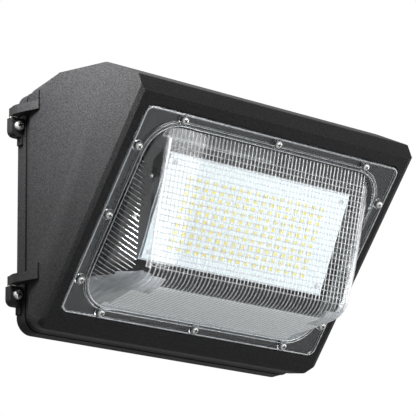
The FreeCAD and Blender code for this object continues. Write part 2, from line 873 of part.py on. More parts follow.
# Taps for the lens screws, and bosses behind the rim for the lamp's brackets.
end_y = lens_half_y - S.screw_end_in
side_x = lens_half_x - S.screw_side_in
side_ys = [S.screw_side_high, -S.screw_side_mid, -S.screw_side_low]
screw_spots = [(sx * S.screw_row_x, sy * end_y) for sx in (-1, 0, 1) for sy in (-1, 1)]
screw_spots += [(sx * side_x, y) for sx in (-1, 1) for y in side_ys]
taps = make_sketch(house, "XY", "lens_taps", frame=in_rim(recess_depth))
for x, y in screw_spots:
    draw_circle(taps, x, y, S.small_shank + 2 * S.screw_fit)
pocket(house, taps, "lens_tap_cut", S.lens_screw_grip + S.lens_proud + 0.2)
tab_spots = [(sx * S.tab_x, sy * S.tab_y) for sx in (-1, 1) for sy in (-1, 1)]
boss_end = S.panel_thick + S.boss_height
bosses = make_sketch(house, "XY", "bosses", frame=in_rim(boss_end))
for x, y in tab_spots:
    draw_circle(bosses, x, y, S.boss_width)
pad(house, bosses, "boss_blocks", S.boss_height + 0.5)
tab_taps = make_sketch(house, "XY", "tab_taps", frame=in_rim(boss_end))
for x, y in tab_spots:
    draw_circle(tab_taps, x, y, S.small_shank + 2 * S.screw_fit)
pocket(house, tab_taps, "tab_tap_cut", S.short_reach + S.tap_rest, backward=True)

# Posts under the top wall for the driver's two feet and for the terminal block.
driver_top = S.ridge_rise - S.driver_drop
foot_x = S.driver_length / 2 + S.driver_foot / 2
post_spots = [(-foot_x, -S.driver_in), (foot_x, -S.driver_in), (-S.block_x, S.block_shift - S.driver_in)]
posts = make_sketch(house, "XY", "posts", driver_top)
for x, y in post_spots:
    draw_circle(posts, x, y, S.post_width)
pad(house, posts, "post_blocks", S.driver_drop - wall + 1.5)
post_taps = make_sketch(house, "XY", "post_taps", driver_top)
for x, y in post_spots:
    draw_circle(post_taps, x, y, S.small_shank + 2 * S.screw_fit)
pocket(house, post_taps, "post_tap_cut", S.short_reach + S.tap_rest, backward=True)

# Hinge arms on the left, with the pads they grow from, and closing lugs on the right.
arm_floors = [S.arm_high, -S.arm_low]
pad_rises = [S.pad_high_rise, S.pad_low_rise]
arm_outer = hinge_x - S.arm_half
arm_inner = hinge_x + S.arm_half
arm_bend = hinge_x - S.arm_bend_out
arm_end_round = S.arm_half - 2 * S.running_fit
arm_back = -S.hinge_in + arm_end_round
for number, floor in enumerate(arm_floors):
    side = make_sketch(house, "XY", "arm_pad_%d" % number, floor)
    draw_box(side, -half_house - S.arm_pad, -S.arm_reach, -half_house + S.root, -strip_front - S.seam_gap)
    pad(house, side, "arm_pad_block_%d" % number, pad_rises[number])
    arm = make_sketch(house, "XY", "arm_%d" % number, floor)
    draw_outline(arm, [
        (-half_house + S.root, -S.arm_reach),
        (-half_house - S.arm_pad, -S.arm_reach),
        (arm_bend, -S.arm_bend_in),
        (arm_outer, -S.hinge_in - S.root),
        (arm_outer, arm_back),
        (arm_inner, arm_back),
        (arm_inner, -S.arm_bend_in),
        (-half_box_x + S.root, -strip_back - S.root),
    ])
    pad(house, arm, "arm_plate_%d" % number, S.arm_thick)


def arm_end(m, a, b):
    side = near(m[0], arm_outer) or near(m[0], arm_inner)
    return side and near(m[1], arm_back) and runs_along(2, a, b)


def arm_elbow(m, a, b):
    return near(m[0], arm_bend) and near(m[1], -S.arm_bend_in) and runs_along(2, a, b)


round_edges(house, "arm_rounding", arm_end_round, arm_end)
round_edges(house, "arm_elbow_rounding", S.arm_bend_round, arm_elbow)
for number, floor in enumerate(arm_floors):
    bore = make_sketch(house, "XY", "arm_bore_%d" % number, floor)
    draw_circle(bore, hinge_x, -S.hinge_in, S.pin_width)
    pocket(house, bore, "arm_bore_cut_%d" % number, S.arm_thick - 1.5, backward=True)
    lug = make_sketch(house, "XZ", "house_lug_%d" % number, S.box_depth + S.seam_gap)
    z = lock_heights[number]
    draw_box(lug, half_house - 2, z - S.lug_half, lug_x + S.lug_half, z + S.lug_half)
    pad(house, lug, "house_lug_block_%d" % number, S.lug_front - S.seam_gap)
round_edges(house, "house_lug_rounding", S.lug_half - 2, lug_corner)
for number, z in enumerate(lock_heights):
    bore = make_sketch(house, "XZ", "house_lug_bore_%d" % number, S.box_depth + S.lug_front)
    draw_circle(bore, lug_x, z, S.lug_bore)
    pocket(house, bore, "house_lug_bore_cut_%d" % number, S.lug_front)


# Hinge pins: pressed into the arms, necked where the lock screws pass beside them.

pin = make_body("hinge_pin_form")
turned = make_sketch(pin, "XZ", "pin_outline")
pin_top = S.arm_thick - 1.5
neck_mid = -S.lock_drop
neck_half = S.large_shank / 2 + S.neck_play
pin_end = -S.pin_depth - S.washer_thick
draw_outline(turned, [
    (0, pin_top),
    (S.pin_width / 2, pin_top),
    (S.pin_width / 2, neck_mid + neck_half),
    (S.pin_neck / 2, neck_mid + neck_half),
    (S.pin_neck / 2, neck_mid - neck_half),
    (S.pin_width / 2, neck_mid - neck_half),
    (S.pin_width / 2, pin_end),
    (0, pin_end),
])
revolve(pin, turned, "pin_turned")
copies("hinge_pins", pin, [at(hinge_x, -S.hinge_in, floor) for floor in arm_floors])


# Washers: nylon under the arms, steel under the closing screws' heads.


def washer_form(name, bore, width, thick):
    body = make_body(name)
    sketch = make_sketch(body, "XY", name + "_ring")
    draw_circle(sketch, 0, 0, width)
    draw_circle(sketch, 0, 0, bore)
    pad(body, sketch, name + "_disc", thick)
    return body


ahead = Vector(0, -1, 0)
pin_hole = S.pin_width + 2 * S.running_fit
hinge_washer = washer_form("hinge_washer_form", pin_hole, S.washer_width, S.washer_thick)
copies("hinge_washers", hinge_washer, [at(hinge_x, -S.hinge_in, top) for top in ear_tops])
lug_face = -S.box_depth - S.lug_front
lug_washer_hole = S.large_shank + S.hole_fit
closing_washer = washer_form("closing_washer_form", lug_washer_hole, S.lug_washer_width, S.washer_thick)
copies("closing_washers", closing_washer, [at(lug_x, lug_face, z, ahead) for z in lock_heights])
seat = lug_face - S.washer_thick
copies("closing_screws", large_screw, [at(lug_x, seat, z, ahead) for z in lock_heights])
locks = [at(hinge_x + S.lock_side, -S.ear_depth, z, ahead) for z in lock_heights]
copies("hinge_lock_screws", lock_screw, locks)


# Lens: a clear moulding with a flat flange, a raised rim, a bead and screw bosses, and
# a wedge dome whose face has crossed prisms, flat strips inside and out.

lens_top = S.lens_proud
dome_x = lens_half_x - S.dome_side_in
dome_y = lens_half_y - S.dome_end_in
face_high = dome_y - S.dome_top_run
face_low = dome_y - S.dome_foot_run
face_fall = slope(S.dome_foot_rise - S.dome_top_rise, face_high + face_low)
face_half = length_of(S.dome_foot_rise - S.dome_top_rise, face_high + face_low) / 2
face_mid_y = (face_high - face_low) / 2
face_mid_z = (S.dome_foot_rise + S.dome_top_rise) / 2
face_x = dome_x - S.dome_side_run
face_turn = Size(-face_fall.value, "(-1 * %s)" % face_fall.rule)


def on_face(depth):
    """The dome's face plane, moved in by a depth."""
    y = face_mid_y - depth * sine(face_fall)
    z = face_mid_z - depth * cosine(face_fall)
    return (y, z, face_turn)


lens = make_body("lens", rim)
foot = make_sketch(lens, "XY", "dome_foot", 0)
draw_rounded(foot, dome_x, dome_y, S.dome_corner)
shoulder = make_sketch(lens, "XY", "dome_shoulder", frame=on_face(S.dome_edge_depth))
draw_rounded(shoulder, face_x + 0.8, face_half + 0.8, S.dome_face_corner)
face = make_sketch(lens, "XY", "dome_face", frame=on_face(as_size(0)))
flat_x = face_x - S.dome_edge_side
flat_half = face_half - S.dome_edge_end
draw_rounded(face, flat_x, flat_half, S.dome_face_corner - S.dome_edge_end)
dome = lens.newObject("PartDesign::AdditiveLoft", "dome")
dome.Profile = foot
dome.Sections = [shoulder, face]
dome.Ruled = True
plate = make_sketch(lens, "XY", "lens_plate", lens_top - S.lens_thick)
draw_rounded(plate, lens_half_x, lens_half_y, S.lens_corner)
pad(lens, plate, "lens_flange", S.lens_thick)
edge = make_sketch(lens, "XY", "lens_edge", lens_top - 0.5)
draw_rounded(edge, lens_half_x, lens_half_y, S.lens_corner)
rim_in = S.lens_rim_width
draw_rounded(edge, lens_half_x - rim_in, lens_half_y - rim_in, S.lens_corner - rim_in)
pad(lens, edge, "lens_edge_rib", S.lens_rim_height + 0.5)
bead = make_sketch(lens, "XY", "lens_bead", lens_top - 0.5)
draw_rounded(bead, dome_x + S.bead_width, dome_y + S.bead_width, S.dome_corner + S.bead_width)
draw_rounded(bead, dome_x - 1, dome_y - 1, S.dome_corner - 1)
pad(lens, bead, "lens_bead_rib", S.bead_height + 0.5)
for number, (x, y) in enumerate(screw_spots):
    boss = make_sketch(lens, "XY", "lens_boss_%d" % number, lens_top - 0.5)
    draw_circle(boss, x, y, S.boss_width + 0.6)
    pad(lens, boss, "lens_boss_block_%d" % number, S.bead_height + 0.5)

inner_foot = make_sketch(lens, "XY", "dome_inner_foot", lens_top - S.lens_thick - 0.5)
inset = S.dome_wall
draw_rounded(inner_foot, dome_x - inset, dome_y - inset, S.dome_corner - inset)
inner_face = make_sketch(lens, "XY", "dome_inner_face", frame=on_face(S.dome_wall))
inner_half = face_half - 1.6 * inset
draw_rounded(inner_face, face_x - inset, inner_half, S.dome_face_corner - inset)
cavity = lens.newObject("PartDesign::SubtractiveLoft", "dome_cavity")
cavity.Profile = inner_foot
cavity.Sections = [inner_face]
cavity.Ruled = True
holes = make_sketch(lens, "XY", "lens_holes", lens_top + S.bead_height)
for x, y in screw_spots:
    draw_circle(holes, x, y, S.small_shank + S.hole_fit)
pocket(lens, holes, "lens_hole_cut", S.lens_thick + S.bead_height)


def prisms(name, sketch, length, count, guide, axis, reach):
    """A row of V grooves side by side, cut across the dome's face."""
    first = pocket(lens, sketch, name + "_first", length, symmetric=True)
    row = lens.newObject("PartDesign::LinearPattern", name)
    row.Originals = [first]
    row.Direction = (guide, [axis])
    row.Occurrences = count
    bind(row, "Length", reach)
    lens.Tip = row


# Outside the grooves run up the face and through both its ends; inside they run level,
# so that the two sets cross. They are drawn at twice the true pitch, which is finer.
pitch = S.prism_pitch
upright_count = int(2 * (flat_x.value - pitch.value) / pitch.value)
upright_reach = pitch * (upright_count - 1)
first_x = -upright_reach / 2
upright_turn = Size(90 + face_turn.value, "(90 deg + %s)" % face_turn.rule)
upright = make_sketch(lens, "XY", "upright_groove", frame=(face_mid_y, face_mid_z, upright_turn))
draw_outline(upright, [
    (first_x - pitch / 2, S.prism_clear),
    (first_x + pitch / 2, S.prism_clear),
    (first_x, -S.prism_depth),
])
prisms("upright_prisms", upright, 2 * face_half + S.dome_wall, upright_count, face, "H_Axis", upright_reach)
level_count = int(2 * (inner_half.value - pitch.value) / pitch.value)
level_reach = pitch * (level_count - 1)
level = make_sketch(lens, "YZ", "level_groove", as_size(0))
inner_y, inner_z, inner_turn = on_face(inset)
mid_y = inner_y - level_reach / 2 * cosine(face_fall)
mid_z = inner_z + level_reach / 2 * sine(face_fall)
corner_y = pitch / 2 * cosine(face_fall)
corner_z = pitch / 2 * sine(face_fall)
draw_outline(level, [
    (mid_y - corner_y, mid_z + corner_z),
    (mid_y + S.prism_depth * sine(face_fall), mid_z + S.prism_depth * cosine(face_fall)),
    (mid_y + corner_y, mid_z - corner_z),
    (mid_y - S.prism_clear * sine(face_fall), mid_z - S.prism_clear * cosine(face_fall)),
])
level_length = 2 * (face_x - inset) - 2 * S.prism_pitch
prisms("level_prisms", level, level_length, level_count, inner_face, "V_Axis", level_reach)


# Lens seal: a silicone ring in the recess's channel, inside the row of screws.

lens_ring = make_body("lens_seal", rim)
ring = make_sketch(lens_ring, "XY", "lens_seal_ring", lens_top - S.lens_thick - S.lens_seal_thick)
draw_ring(ring, as_size(0))
pad(lens_ring, ring, "lens_seal_cord", S.lens_seal_thick)
screw_seat = lens_top + S.bead_height
copies("lens_screws", lens_screw, [on_frame(rim, x, y, screw_seat) for x, y in screw_spots])


# Lamp: board and chips on a finned heat sink, through a soft thermal pad.

half_board_x = S.board_width / 2
half_board_y = S.board_height / 2
pad_back = S.board_thick + S.pad_thick
sink_x = half_board_x + S.sink_margin
sink_y = half_board_y + S.sink_margin
fin_pitch = (2 * sink_x - S.fin_thick) / 14
lead_x = fin_pitch * 5.5
board_screw_x = half_board_x - S.board_screw_in_x
board_screw_y = half_board_y - S.board_screw_in_y
board_spots = [(sx * board_screw_x, sy * board_screw_y) for sx in (-1, 1) for sy in (-1, 1)]


def lamp_sheet(label, out, thick, half_x, half_y):
    """A flat layer of the lamp, holed for its screws; out is its front face."""
    body = make_body(label, lamp)
    sketch = make_sketch(body, "XY", label + "_sheet", out - thick)
    draw_box(sketch, -half_x, -half_y, half_x, half_y)
    pad(body, sketch, label + "_block", thick)
    return body


def lamp_holes(body, label, out, deep, width):
    sketch = make_sketch(body, "XY", label + "_holes", out)
    for x, y in board_spots:
        draw_circle(sketch, x, y, width)
    pocket(body, sketch, label + "_hole_cut", deep)


def lead_slot(body, label, out, deep):
    sketch = make_sketch(body, "XY", label + "_slot", out)
    w = S.lead_hole_width / 2
    draw_box(sketch, lead_x - w, S.lead_hole_y - w / 2, lead_x + w, S.lead_hole_y + w / 2)
    pocket(body, sketch, label + "_slot_cut", deep)


board = lamp_sheet("led_board", as_size(0), S.board_thick, half_board_x, half_board_y)
lamp_holes(board, "led_board", as_size(0), S.board_thick, S.fine_shank + S.hole_fit)
pad_x = half_board_x - S.pad_side_in
pad_y = half_board_y - S.pad_end_in
soft = lamp_sheet("thermal_pad", -S.board_thick, S.pad_thick, pad_x, pad_y)
lead_slot(soft, "thermal_pad", -S.board_thick, S.pad_thick)
sink = lamp_sheet("heat_sink", -pad_back, S.sink_base, sink_x, sink_y)
fin = make_sketch(sink, "XY", "fin", -pad_back - S.sink_base - S.fin_height)
draw_box(fin, -sink_x, -sink_y, -sink_x + S.fin_thick, sink_y)
first_fin = pad(sink, fin, "first_fin", S.fin_height + 0.5)
doc.recompute()
fins = sink.newObject("PartDesign::LinearPattern", "fins")
fins.Originals = [first_fin]
fins.Direction = (fin, ["H_Axis"])
bind(fins, "Length", 2 * sink_x - S.fin_thick)
fins.Occurrences = 15
sink.Tip = fins
lamp_holes(sink, "heat_sink", -pad_back, S.sink_base - S.tap_rest, S.fine_shank + 2 * S.screw_fit)
lead_slot(sink, "heat_sink", -pad_back, S.sink_base)
end_spots = [(S.end_screw_high, -S.end_screw_high_back), (-S.end_screw_low, -S.end_screw_low_back)]
for side in (-1, 1):
    end_taps = make_sketch(sink, "YZ", "end_taps_%d" % (side + 1), side * sink_x)
    for up, out in end_spots:
        draw_circle(end_taps, up, out, S.fine_shank + 2 * S.screw_fit)
    pocket(sink, end_taps, "end_tap_cut_%d" % (side + 1), S.fin_thick, backward=side < 0)

rows = range(10)
columns = range(17)
chips = []
for row in rows:
    for column in columns:
        x = (column - 8) * S.chip_pitch_x
        y = (row - 4.5) * S.chip_pitch_y - S.chip_drop
        corner = Vector((x - S.chip_size / 2).value, (y - S.chip_size / 2).value, 0)
        chips.append(Part.makeBox(S.chip_size.value, S.chip_size.value, S.chip_thick.value, corner))
group = doc.addObject("Part::Feature", "led_chips")
group.Shape = Part.makeCompound(chips)
group.Placement = Placement(lamp.world(0, 0, 0), Rotation(Vector(1, 0, 0), lamp.angle.value))
copies("board_screws", fine_screw, [on_frame(lamp, x, y, 0) for x, y in board_spots])


# Brackets: bent steel sheet, a web beside each end of the heat sink and two tabs that
# are screwed to the bosses behind the rim.

web_x = sink_x
tab_z = -boss_end
for label, side in (("left_bracket", -1), ("right_bracket", 1)):
    bracket = make_body(label, rim)
    web = make_sketch(bracket, "YZ", label + "_web", side * web_x)
    web_front = tab_z + boss_end - S.bracket_front
    draw_box(web, -S.bracket_low, tab_z - S.bracket_back, S.bracket_high, web_front)
    pad(bracket, web, label + "_web_sheet", S.bracket_thick, backward=side < 0)
    for number, y in enumerate((S.tab_y, -S.tab_y)):
        tab = make_sketch(bracket, "XY", "%s_tab_%d" % (label, number), tab_z - S.bracket_thick)
        w = S.tab_width / 2
        draw_box(tab, side * web_x, y - w, side * S.tab_reach, y + w)
        pad(bracket, tab, "%s_tab_sheet_%d" % (label, number), S.bracket_thick)
    holes = make_sketch(bracket, "XY", label + "_tab_holes", tab_z)
    for y in (S.tab_y, -S.tab_y):
        draw_circle(holes, side * S.tab_x, y, S.small_shank + S.hole_fit)
    pocket(bracket, holes, label + "_tab_hole_cut", S.bracket_thick)
    holes = make_sketch(bracket, "YZ", label + "_web_holes", side * web_x)
    for up, out in end_spots:
        v, w = lamp_in_rim(up, out)
        draw_circle(holes, v, w, S.fine_shank + S.hole_fit)
    pocket(bracket, holes, label + "_web_hole_cut", S.bracket_thick, backward=side > 0)
tab_back = tab_z - S.bracket_thick
tab_places = [on_frame(rim, x, y, tab_back, Vector(0, 0, -1)) for x, y in tab_spots]
copies("bracket_screws", short_screw, tab_places)
end_places = []
for side in (-1, 1):
    for up, out in end_spots:
        end_places.append(on_frame(lamp, side * (sink_x + S.bracket_thick), up, out, Vector(side, 0, 0)))
copies("heat_sink_screws", fine_screw, end_places)


# Driver: a potted box hung by two feet from the posts under the top wall.

driver = make_body("led_driver")
case = make_sketch(driver, "XY", "driver_case", driver_top - S.driver_height)
half_l = S.driver_length / 2
half_w = S.driver_width / 2
draw_box(case, -half_l, -S.driver_in - half_w, half_l, -S.driver_in + half_w)
pad(driver, case, "driver_block", S.driver_height)
round_edges(driver, "driver_rounding", 3, lambda m, a, b: runs_along(0, a, b))
feet = make_sketch(driver, "XY", "driver_feet", driver_top - S.foot_thick)
f = S.foot_width / 2
draw_box(feet, -half_l - S.driver_foot, -S.driver_in - f, half_l + S.driver_foot, -S.driver_in + f)
pad(driver, feet, "driver_foot_sheet", S.foot_thick)
holes = make_sketch(driver, "XY", "driver_holes", driver_top)
for x in (-foot_x, foot_x):
    draw_circle(holes, x, -S.driver_in, S.small_shank + S.hole_fit)
pocket(driver, holes, "driver_hole_cut", S.foot_thick)
down = Vector(0, 0, -1)
foot_under = driver_top - S.foot_thick
copies("driver_screws", short_screw, [at(x, -S.driver_in, foot_under, down) for x in (-foot_x, foot_x)])


# Terminal block: three ways for the supply, screwed to its own post.

block = make_body("terminal_block")
block_floor = driver_top - S.block_height
body_sketch = make_sketch(block, "XY", "block_outline", block_floor)
bx = -S.block_x
by = -S.driver_in
half_block_x = S.block_length / 2
half_block_y = S.block_width / 2
draw_box(body_sketch, bx - half_block_x, by - half_block_y, bx + half_block_x, by + half_block_y)
pad(block, body_sketch, "block_body", S.block_height)
entry_y = by + half_block_y
way_y = by - half_block_y / 2
way_z = block_floor + S.way_rise
half_bore = S.way_bore / 2
half_entry = (S.lead_width + S.hole_fit) / 2
for number in (-1, 0, 1):
    mouth_x = bx + number * S.way_pitch
    well = make_sketch(block, "XY", "block_well_%d" % (number + 1), block_floor)
    draw_box(well, mouth_x - half_bore, way_y - half_bore, mouth_x + half_bore, way_y + half_bore)
    pocket(block, well, "block_well_cut_%d" % (number + 1), S.way_depth, backward=True)
    shaft = make_sketch(block, "XY", "block_shaft_%d" % (number + 1), block_floor)
    draw_circle(shaft, mouth_x, way_y, S.fine_shank + 2 * S.screw_fit)
    shaft_depth = S.way_depth + S.way_reach + S.tap_rest
    pocket(block, shaft, "block_shaft_cut_%d" % (number + 1), shaft_depth, backward=True)
    entry = make_sketch(block, "XZ", "block_entry_%d" % (number + 1), -entry_y)
    draw_box(entry, mouth_x - half_entry, way_z - half_entry, mouth_x + half_entry, way_z + half_entry)
    pocket(block, entry, "block_entry_cut_%d" % (number + 1), S.block_width - 3, backward=True)
hole = make_sketch(block, "XY", "block_hole", block_floor)
draw_circle(hole, bx, by + S.block_shift, S.small_head + S.hole_fit)
pocket(block, hole, "block_hole_sink", S.block_height - S.block_neck, backward=True)
hole = make_sketch(block, "XY", "block_screw_hole", driver_top)
draw_circle(hole, bx, by + S.block_shift, S.small_shank + S.hole_fit)
pocket(block, hole, "block_screw_hole_cut", S.block_neck + 0.5)
way_screw = screw_form("way_screw_form", S.way_bore - S.hole_fit, S.fine_shank, S.way_reach)
way_seat = block_floor + S.way_depth
way_places = [at(bx + number * S.way_pitch, way_y, way_seat, down) for number in (-1, 0, 1)]
copies("terminal_screws", way_screw, way_places)
block_seat = driver_top - S.block_neck
copies("terminal_block_screw", short_screw, [at(bx, by + S.block_shift, block_seat, down)])


# Leads: insulated wire of eight flats, straight runs joined by round bends.


def lead(label, points):
    bend = S.lead_bend.value
    spots = [Vector(as_size(x).value, as_size(y).value, as_size(z).value) for x, y, z in points]
    edges = []
    start = spots[0]
    for before, corner, after in zip(spots, spots[1:], spots[2:]):
        back = (before - corner).normalize()
        ahead = (after - corner).normalize()
        half = back.getAngle(ahead) / 2
        reach = bend / math.tan(half)
        middle = (back + ahead).normalize() * (bend / math.sin(half) - bend)
        stop = corner + back * reach
        resume = corner + ahead * reach
        edges.append(Part.LineSegment(start, stop).toShape())
        edges.append(Part.Arc(stop, corner + middle, resume).toShape())
        start = resume
    edges.append(Part.LineSegment(start, spots[-1]).toShape())
    circle = Part.Circle(spots[0], spots[1] - spots[0], (S.lead_width / 2).value)
    corners = [circle.value(math.radians(45 * step)) for step in range(9)]
    node = doc.addObject("Part::Feature", label)
    node.Shape = Part.Wire(edges).makePipeShell([Part.makePolygon(corners)], True, False)
    return node


# The three supply leads nest inside one another on their way to the block.
wire_z = driver_top - S.driver_height / 2
for number, label in ((-1, "live_lead"), (0, "neutral_lead"), (1, "earth_lead")):
    mouth_x = bx + number * S.way_pitch
    y = by - number * S.lead_step
    turn_x = -half_l - S.driver_foot - number * S.lead_step
    cross_y = entry_y + 3 * S.lead_step - number * S.lead_step
    lead(label, [
        (-half_l, y, wire_z),
        (turn_x, y, wire_z),
        (turn_x, cross_y, way_z),
        (mouth_x, cross_y, way_z),
        (mouth_x, way_y + S.fine_shank, way_z),
    ])
for side, label in ((-1, "negative_lead"), (1, "positive_lead")):
    x = lead_x + side * S.lead_hole_width / 4
    above = lamp.world(x, S.lead_hole_y, -pad_back - S.sink_base - S.fin_height - 2 * S.lead_bend)
    board_back = lamp.world(x, S.lead_hole_y, -S.board_thick)
    lead(label, [
        (half_l, by + side * S.lead_step, wire_z),
        (x, by + side * S.lead_step, wire_z),
        (above.x, above.y, above.z),
        (board_back.x, board_back.y, board_back.z),
    ])


# Each piece is checked and then written to a file of its own.

NODES = [
    "back_box",
    "door_seal",
    "entry_grommet",
    "earth_screw",
    "hinge_lock_screws",
    "front_housing",
    "hinge_pins",
    "hinge_washers",
    "closing_washers",
    "closing_screws",
    "lens",
    "lens_seal",
    "lens_screws",
    "led_board",
    "thermal_pad",
    "heat_sink",
    "led_chips",
    "board_screws",
    "left_bracket",
    "right_bracket",
    "bracket_screws",
    "heat_sink_screws",
    "led_driver",
    "driver_screws",
    "terminal_block",
    "terminal_screws",
    "terminal_block_screw",
    "live_lead",
    "neutral_lead",
    "earth_lead",
    "negative_lead",
    "positive_lead",
]

doc.recompute()
for item in doc.Objects:
    if "Invalid" in item.State or "Error" in item.State:
        raise RuntimeError("%s failed: %s" % (item.Name, item.getStatusString()))
os.makedirs("parts", exist_ok=True)
for name in NODES:
    item = doc.getObjectsByLabel(name)[0]
    shape = item.Shape
    if shape.isNull() or not shape.isValid() or shape.Volume <= 0:
        raise RuntimeError("%s has no sound solid" % name)
    shape.exportStep("parts/%s.step" % name)
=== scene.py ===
import math

import bmesh
import bpy
from mathutils import Matrix, Vector


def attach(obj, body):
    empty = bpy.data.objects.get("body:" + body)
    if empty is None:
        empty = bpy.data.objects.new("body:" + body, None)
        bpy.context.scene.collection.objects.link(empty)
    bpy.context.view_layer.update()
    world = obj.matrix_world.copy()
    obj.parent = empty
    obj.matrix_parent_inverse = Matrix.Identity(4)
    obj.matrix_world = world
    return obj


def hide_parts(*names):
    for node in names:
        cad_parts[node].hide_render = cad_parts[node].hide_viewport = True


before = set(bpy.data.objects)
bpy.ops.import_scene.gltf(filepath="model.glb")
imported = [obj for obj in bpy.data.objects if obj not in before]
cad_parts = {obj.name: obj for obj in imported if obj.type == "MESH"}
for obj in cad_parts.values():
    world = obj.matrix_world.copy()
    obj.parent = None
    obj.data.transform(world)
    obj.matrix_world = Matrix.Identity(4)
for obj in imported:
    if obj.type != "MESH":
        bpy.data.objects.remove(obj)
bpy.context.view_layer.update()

scene = bpy.context.scene


# Camera: a long lens at the left front of the light and well below it, looking up
# along the side face into the lens. The photograph is a square of 416 pixels.

picture_pixels = 416
focal_pixels = 2206.0
camera_place = Vector((-1.28108, -1.61706, -0.60348))
turn_right = math.radians(39.8693)
look_up = math.radians(17.1260)
roll = math.radians(-1.0233)
ahead = Vector((math.sin(turn_right) * math.cos(look_up),
                math.cos(turn_right) * math.cos(look_up), math.sin(look_up)))
level_right = Vector((math.cos(turn_right), -math.sin(turn_right), 0))
level_up = level_right.cross(ahead)
right = math.cos(roll) * level_right + math.sin(roll) * level_up
up = math.cos(roll) * level_up - math.sin(roll) * level_right
camera_data = bpy.data.cameras.new("camera")
camera_data.sensor_width = 36
camera_data.lens = focal_pixels / picture_pixels * camera_data.sensor_width
camera_data.clip_end = 30
camera = bpy.data.objects.new("camera", camera_data)
turn = Matrix((right, up, -ahead)).transposed()
camera.matrix_world = Matrix.Translation(camera_place) @ turn.to_4x4()
scene.collection.objects.link(camera)
scene.camera = camera


# Back box: the shallow tray that is screwed to the wall, die-cast aluminium under a
# fine dark powder coat. Its ears carry the hinges, and its edges are softly rounded.

sharp_angle = math.radians(32)
flat_angle = math.radians(0.6)
weld_reach = 0.000004
box_edge_round = 0.0006


def linear(code):
    """An sRGB hex colour as linear red, green, blue and full alpha."""
    parts = [int(code[place:place + 2], 16) / 255 for place in (1, 3, 5)]
    return [part / 12.92 if part <= 0.04045 else ((part + 0.055) / 1.055) ** 2.4 for part in parts] + [1.0]


def add(tree, kind, settings=None, links=None):
    """One shader node, with values for its sockets or properties and links into its sockets."""
    node = tree.nodes.new(kind)
    for name, value in (settings or {}).items():
        if isinstance(name, int) or name in node.inputs:
            node.inputs[name].default_value = value
        else:
            setattr(node, name, value)
    for name, source in (links or {}).items():
        tree.links.new(source, node.inputs[name])
    return node


def new_material(name):
    """A new material, with its node tree and its shader."""
    material = bpy.data.materials.new(name)
    material.use_nodes = True
    tree = material.node_tree
    return material, tree, tree.nodes["Principled BSDF"]


def millimetres(size):
    """The noise scale whose features are about that many millimetres wide."""
    return 1000 / size


def new_piece(name, form, *materials):
    """An object made of a finished bmesh, smooth except at its sharp edges."""
    mesh = bpy.data.meshes.new(name)
    form.to_mesh(mesh)
    form.free()
    for material in materials:
        mesh.materials.append(material)
    mesh.set_sharp_from_angle(angle=sharp_angle)
    for polygon in mesh.polygons:
        polygon.use_smooth = True
    piece = bpy.data.objects.new(name, mesh)
    scene.collection.objects.link(piece)
    return piece


def whole_faces(node):
    """A node's own solid as a bmesh, welded, with each flat face in one piece again."""
    form = bmesh.new()
    form.from_mesh(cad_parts[node].data)
    bmesh.ops.remove_doubles(form, verts=form.verts, dist=weld_reach)
    bmesh.ops.dissolve_limit(form, angle_limit=flat_angle, verts=form.verts, edges=form.edges)
    return form


def soften(piece, width):
    """A small round on every sharp edge, as casting and coating leave it."""
    bevel = piece.modifiers.new("soft_edges", "BEVEL")
    bevel.width = width
    bevel.segments = 3
    bevel.limit_method = "ANGLE"
    bevel.angle_limit = sharp_angle
    bevel.harden_normals = True


# Powder coat on die-cast aluminium: baked polyester, dark grey and only faintly glossy.
# Its fine dimples catch the light as a grain; they are really about 0.3 mm wide, and
# are drawn 1.4 mm wide so that the render shows them.
powder_coat, tree, shader = new_material("powder_coat_dark_grey")
place = add(tree, "ShaderNodeTexCoord").outputs["Object"]
grain = add(tree, "ShaderNodeTexNoise", {"Scale": millimetres(1.4), "Detail": 3.0, "Roughness": 0.6},
            {"Vector": place})
patch = add(tree, "ShaderNodeTexNoise", {"Scale": millimetres(45), "Detail": 2.0}, {"Vector": place})
spread = add(tree, "ShaderNodeMapRange", {"From Min": 0.35, "From Max": 0.65},
             {"Value": grain.outputs["Fac"]})
tone = add(tree, "ShaderNodeMix", {"data_type": "RGBA", 6: linear("#151516"), 7: linear("#29292A")},
           {"Factor": spread.outputs["Result"]})
sheen = add(tree, "ShaderNodeMapRange", {"To Min": 0.5, "To Max": 0.62}, {"Value": patch.outputs["Fac"]})
dimples = add(tree, "ShaderNodeBump", {"Strength": 0.8, "Distance": 0.0005},
              {"Height": grain.outputs["Fac"]})
tree.links.new(tone.outputs[2], shader.inputs["Base Color"])
tree.links.new(sheen.outputs["Result"], shader.inputs["Roughness"])
tree.links.new(dimples.outputs["Normal"], shader.inputs["Normal"])
shader.inputs["IOR"].default_value = 1.45
shader.inputs["Specular IOR Level"].default_value = 0.12

back_box = new_piece("back_box_cast", whole_faces("back_box"), powder_coat)
soften(back_box, box_edge_round)
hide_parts("back_box")
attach(back_box, "wall_box")


# Front housing: the cast shell that swings as a door, in the same coat as the box. The
# creases of its hood and the frame of the lens are rounded a little more than the box.

housing_edge_round = 0.0009

front_housing = new_piece("front_housing_cast", whole_faces("front_housing"), powder_coat)
soften(front_housing, housing_edge_round)
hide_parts("front_housing")
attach(front_housing, "door")


# Lens: one clear polycarbonate moulding, injection moulded with a flat flange, a double
# bead and a wedge dome, and screwed down in the housing's frame. The flange's plane leans
# back, so that the dome looks outwards and down.

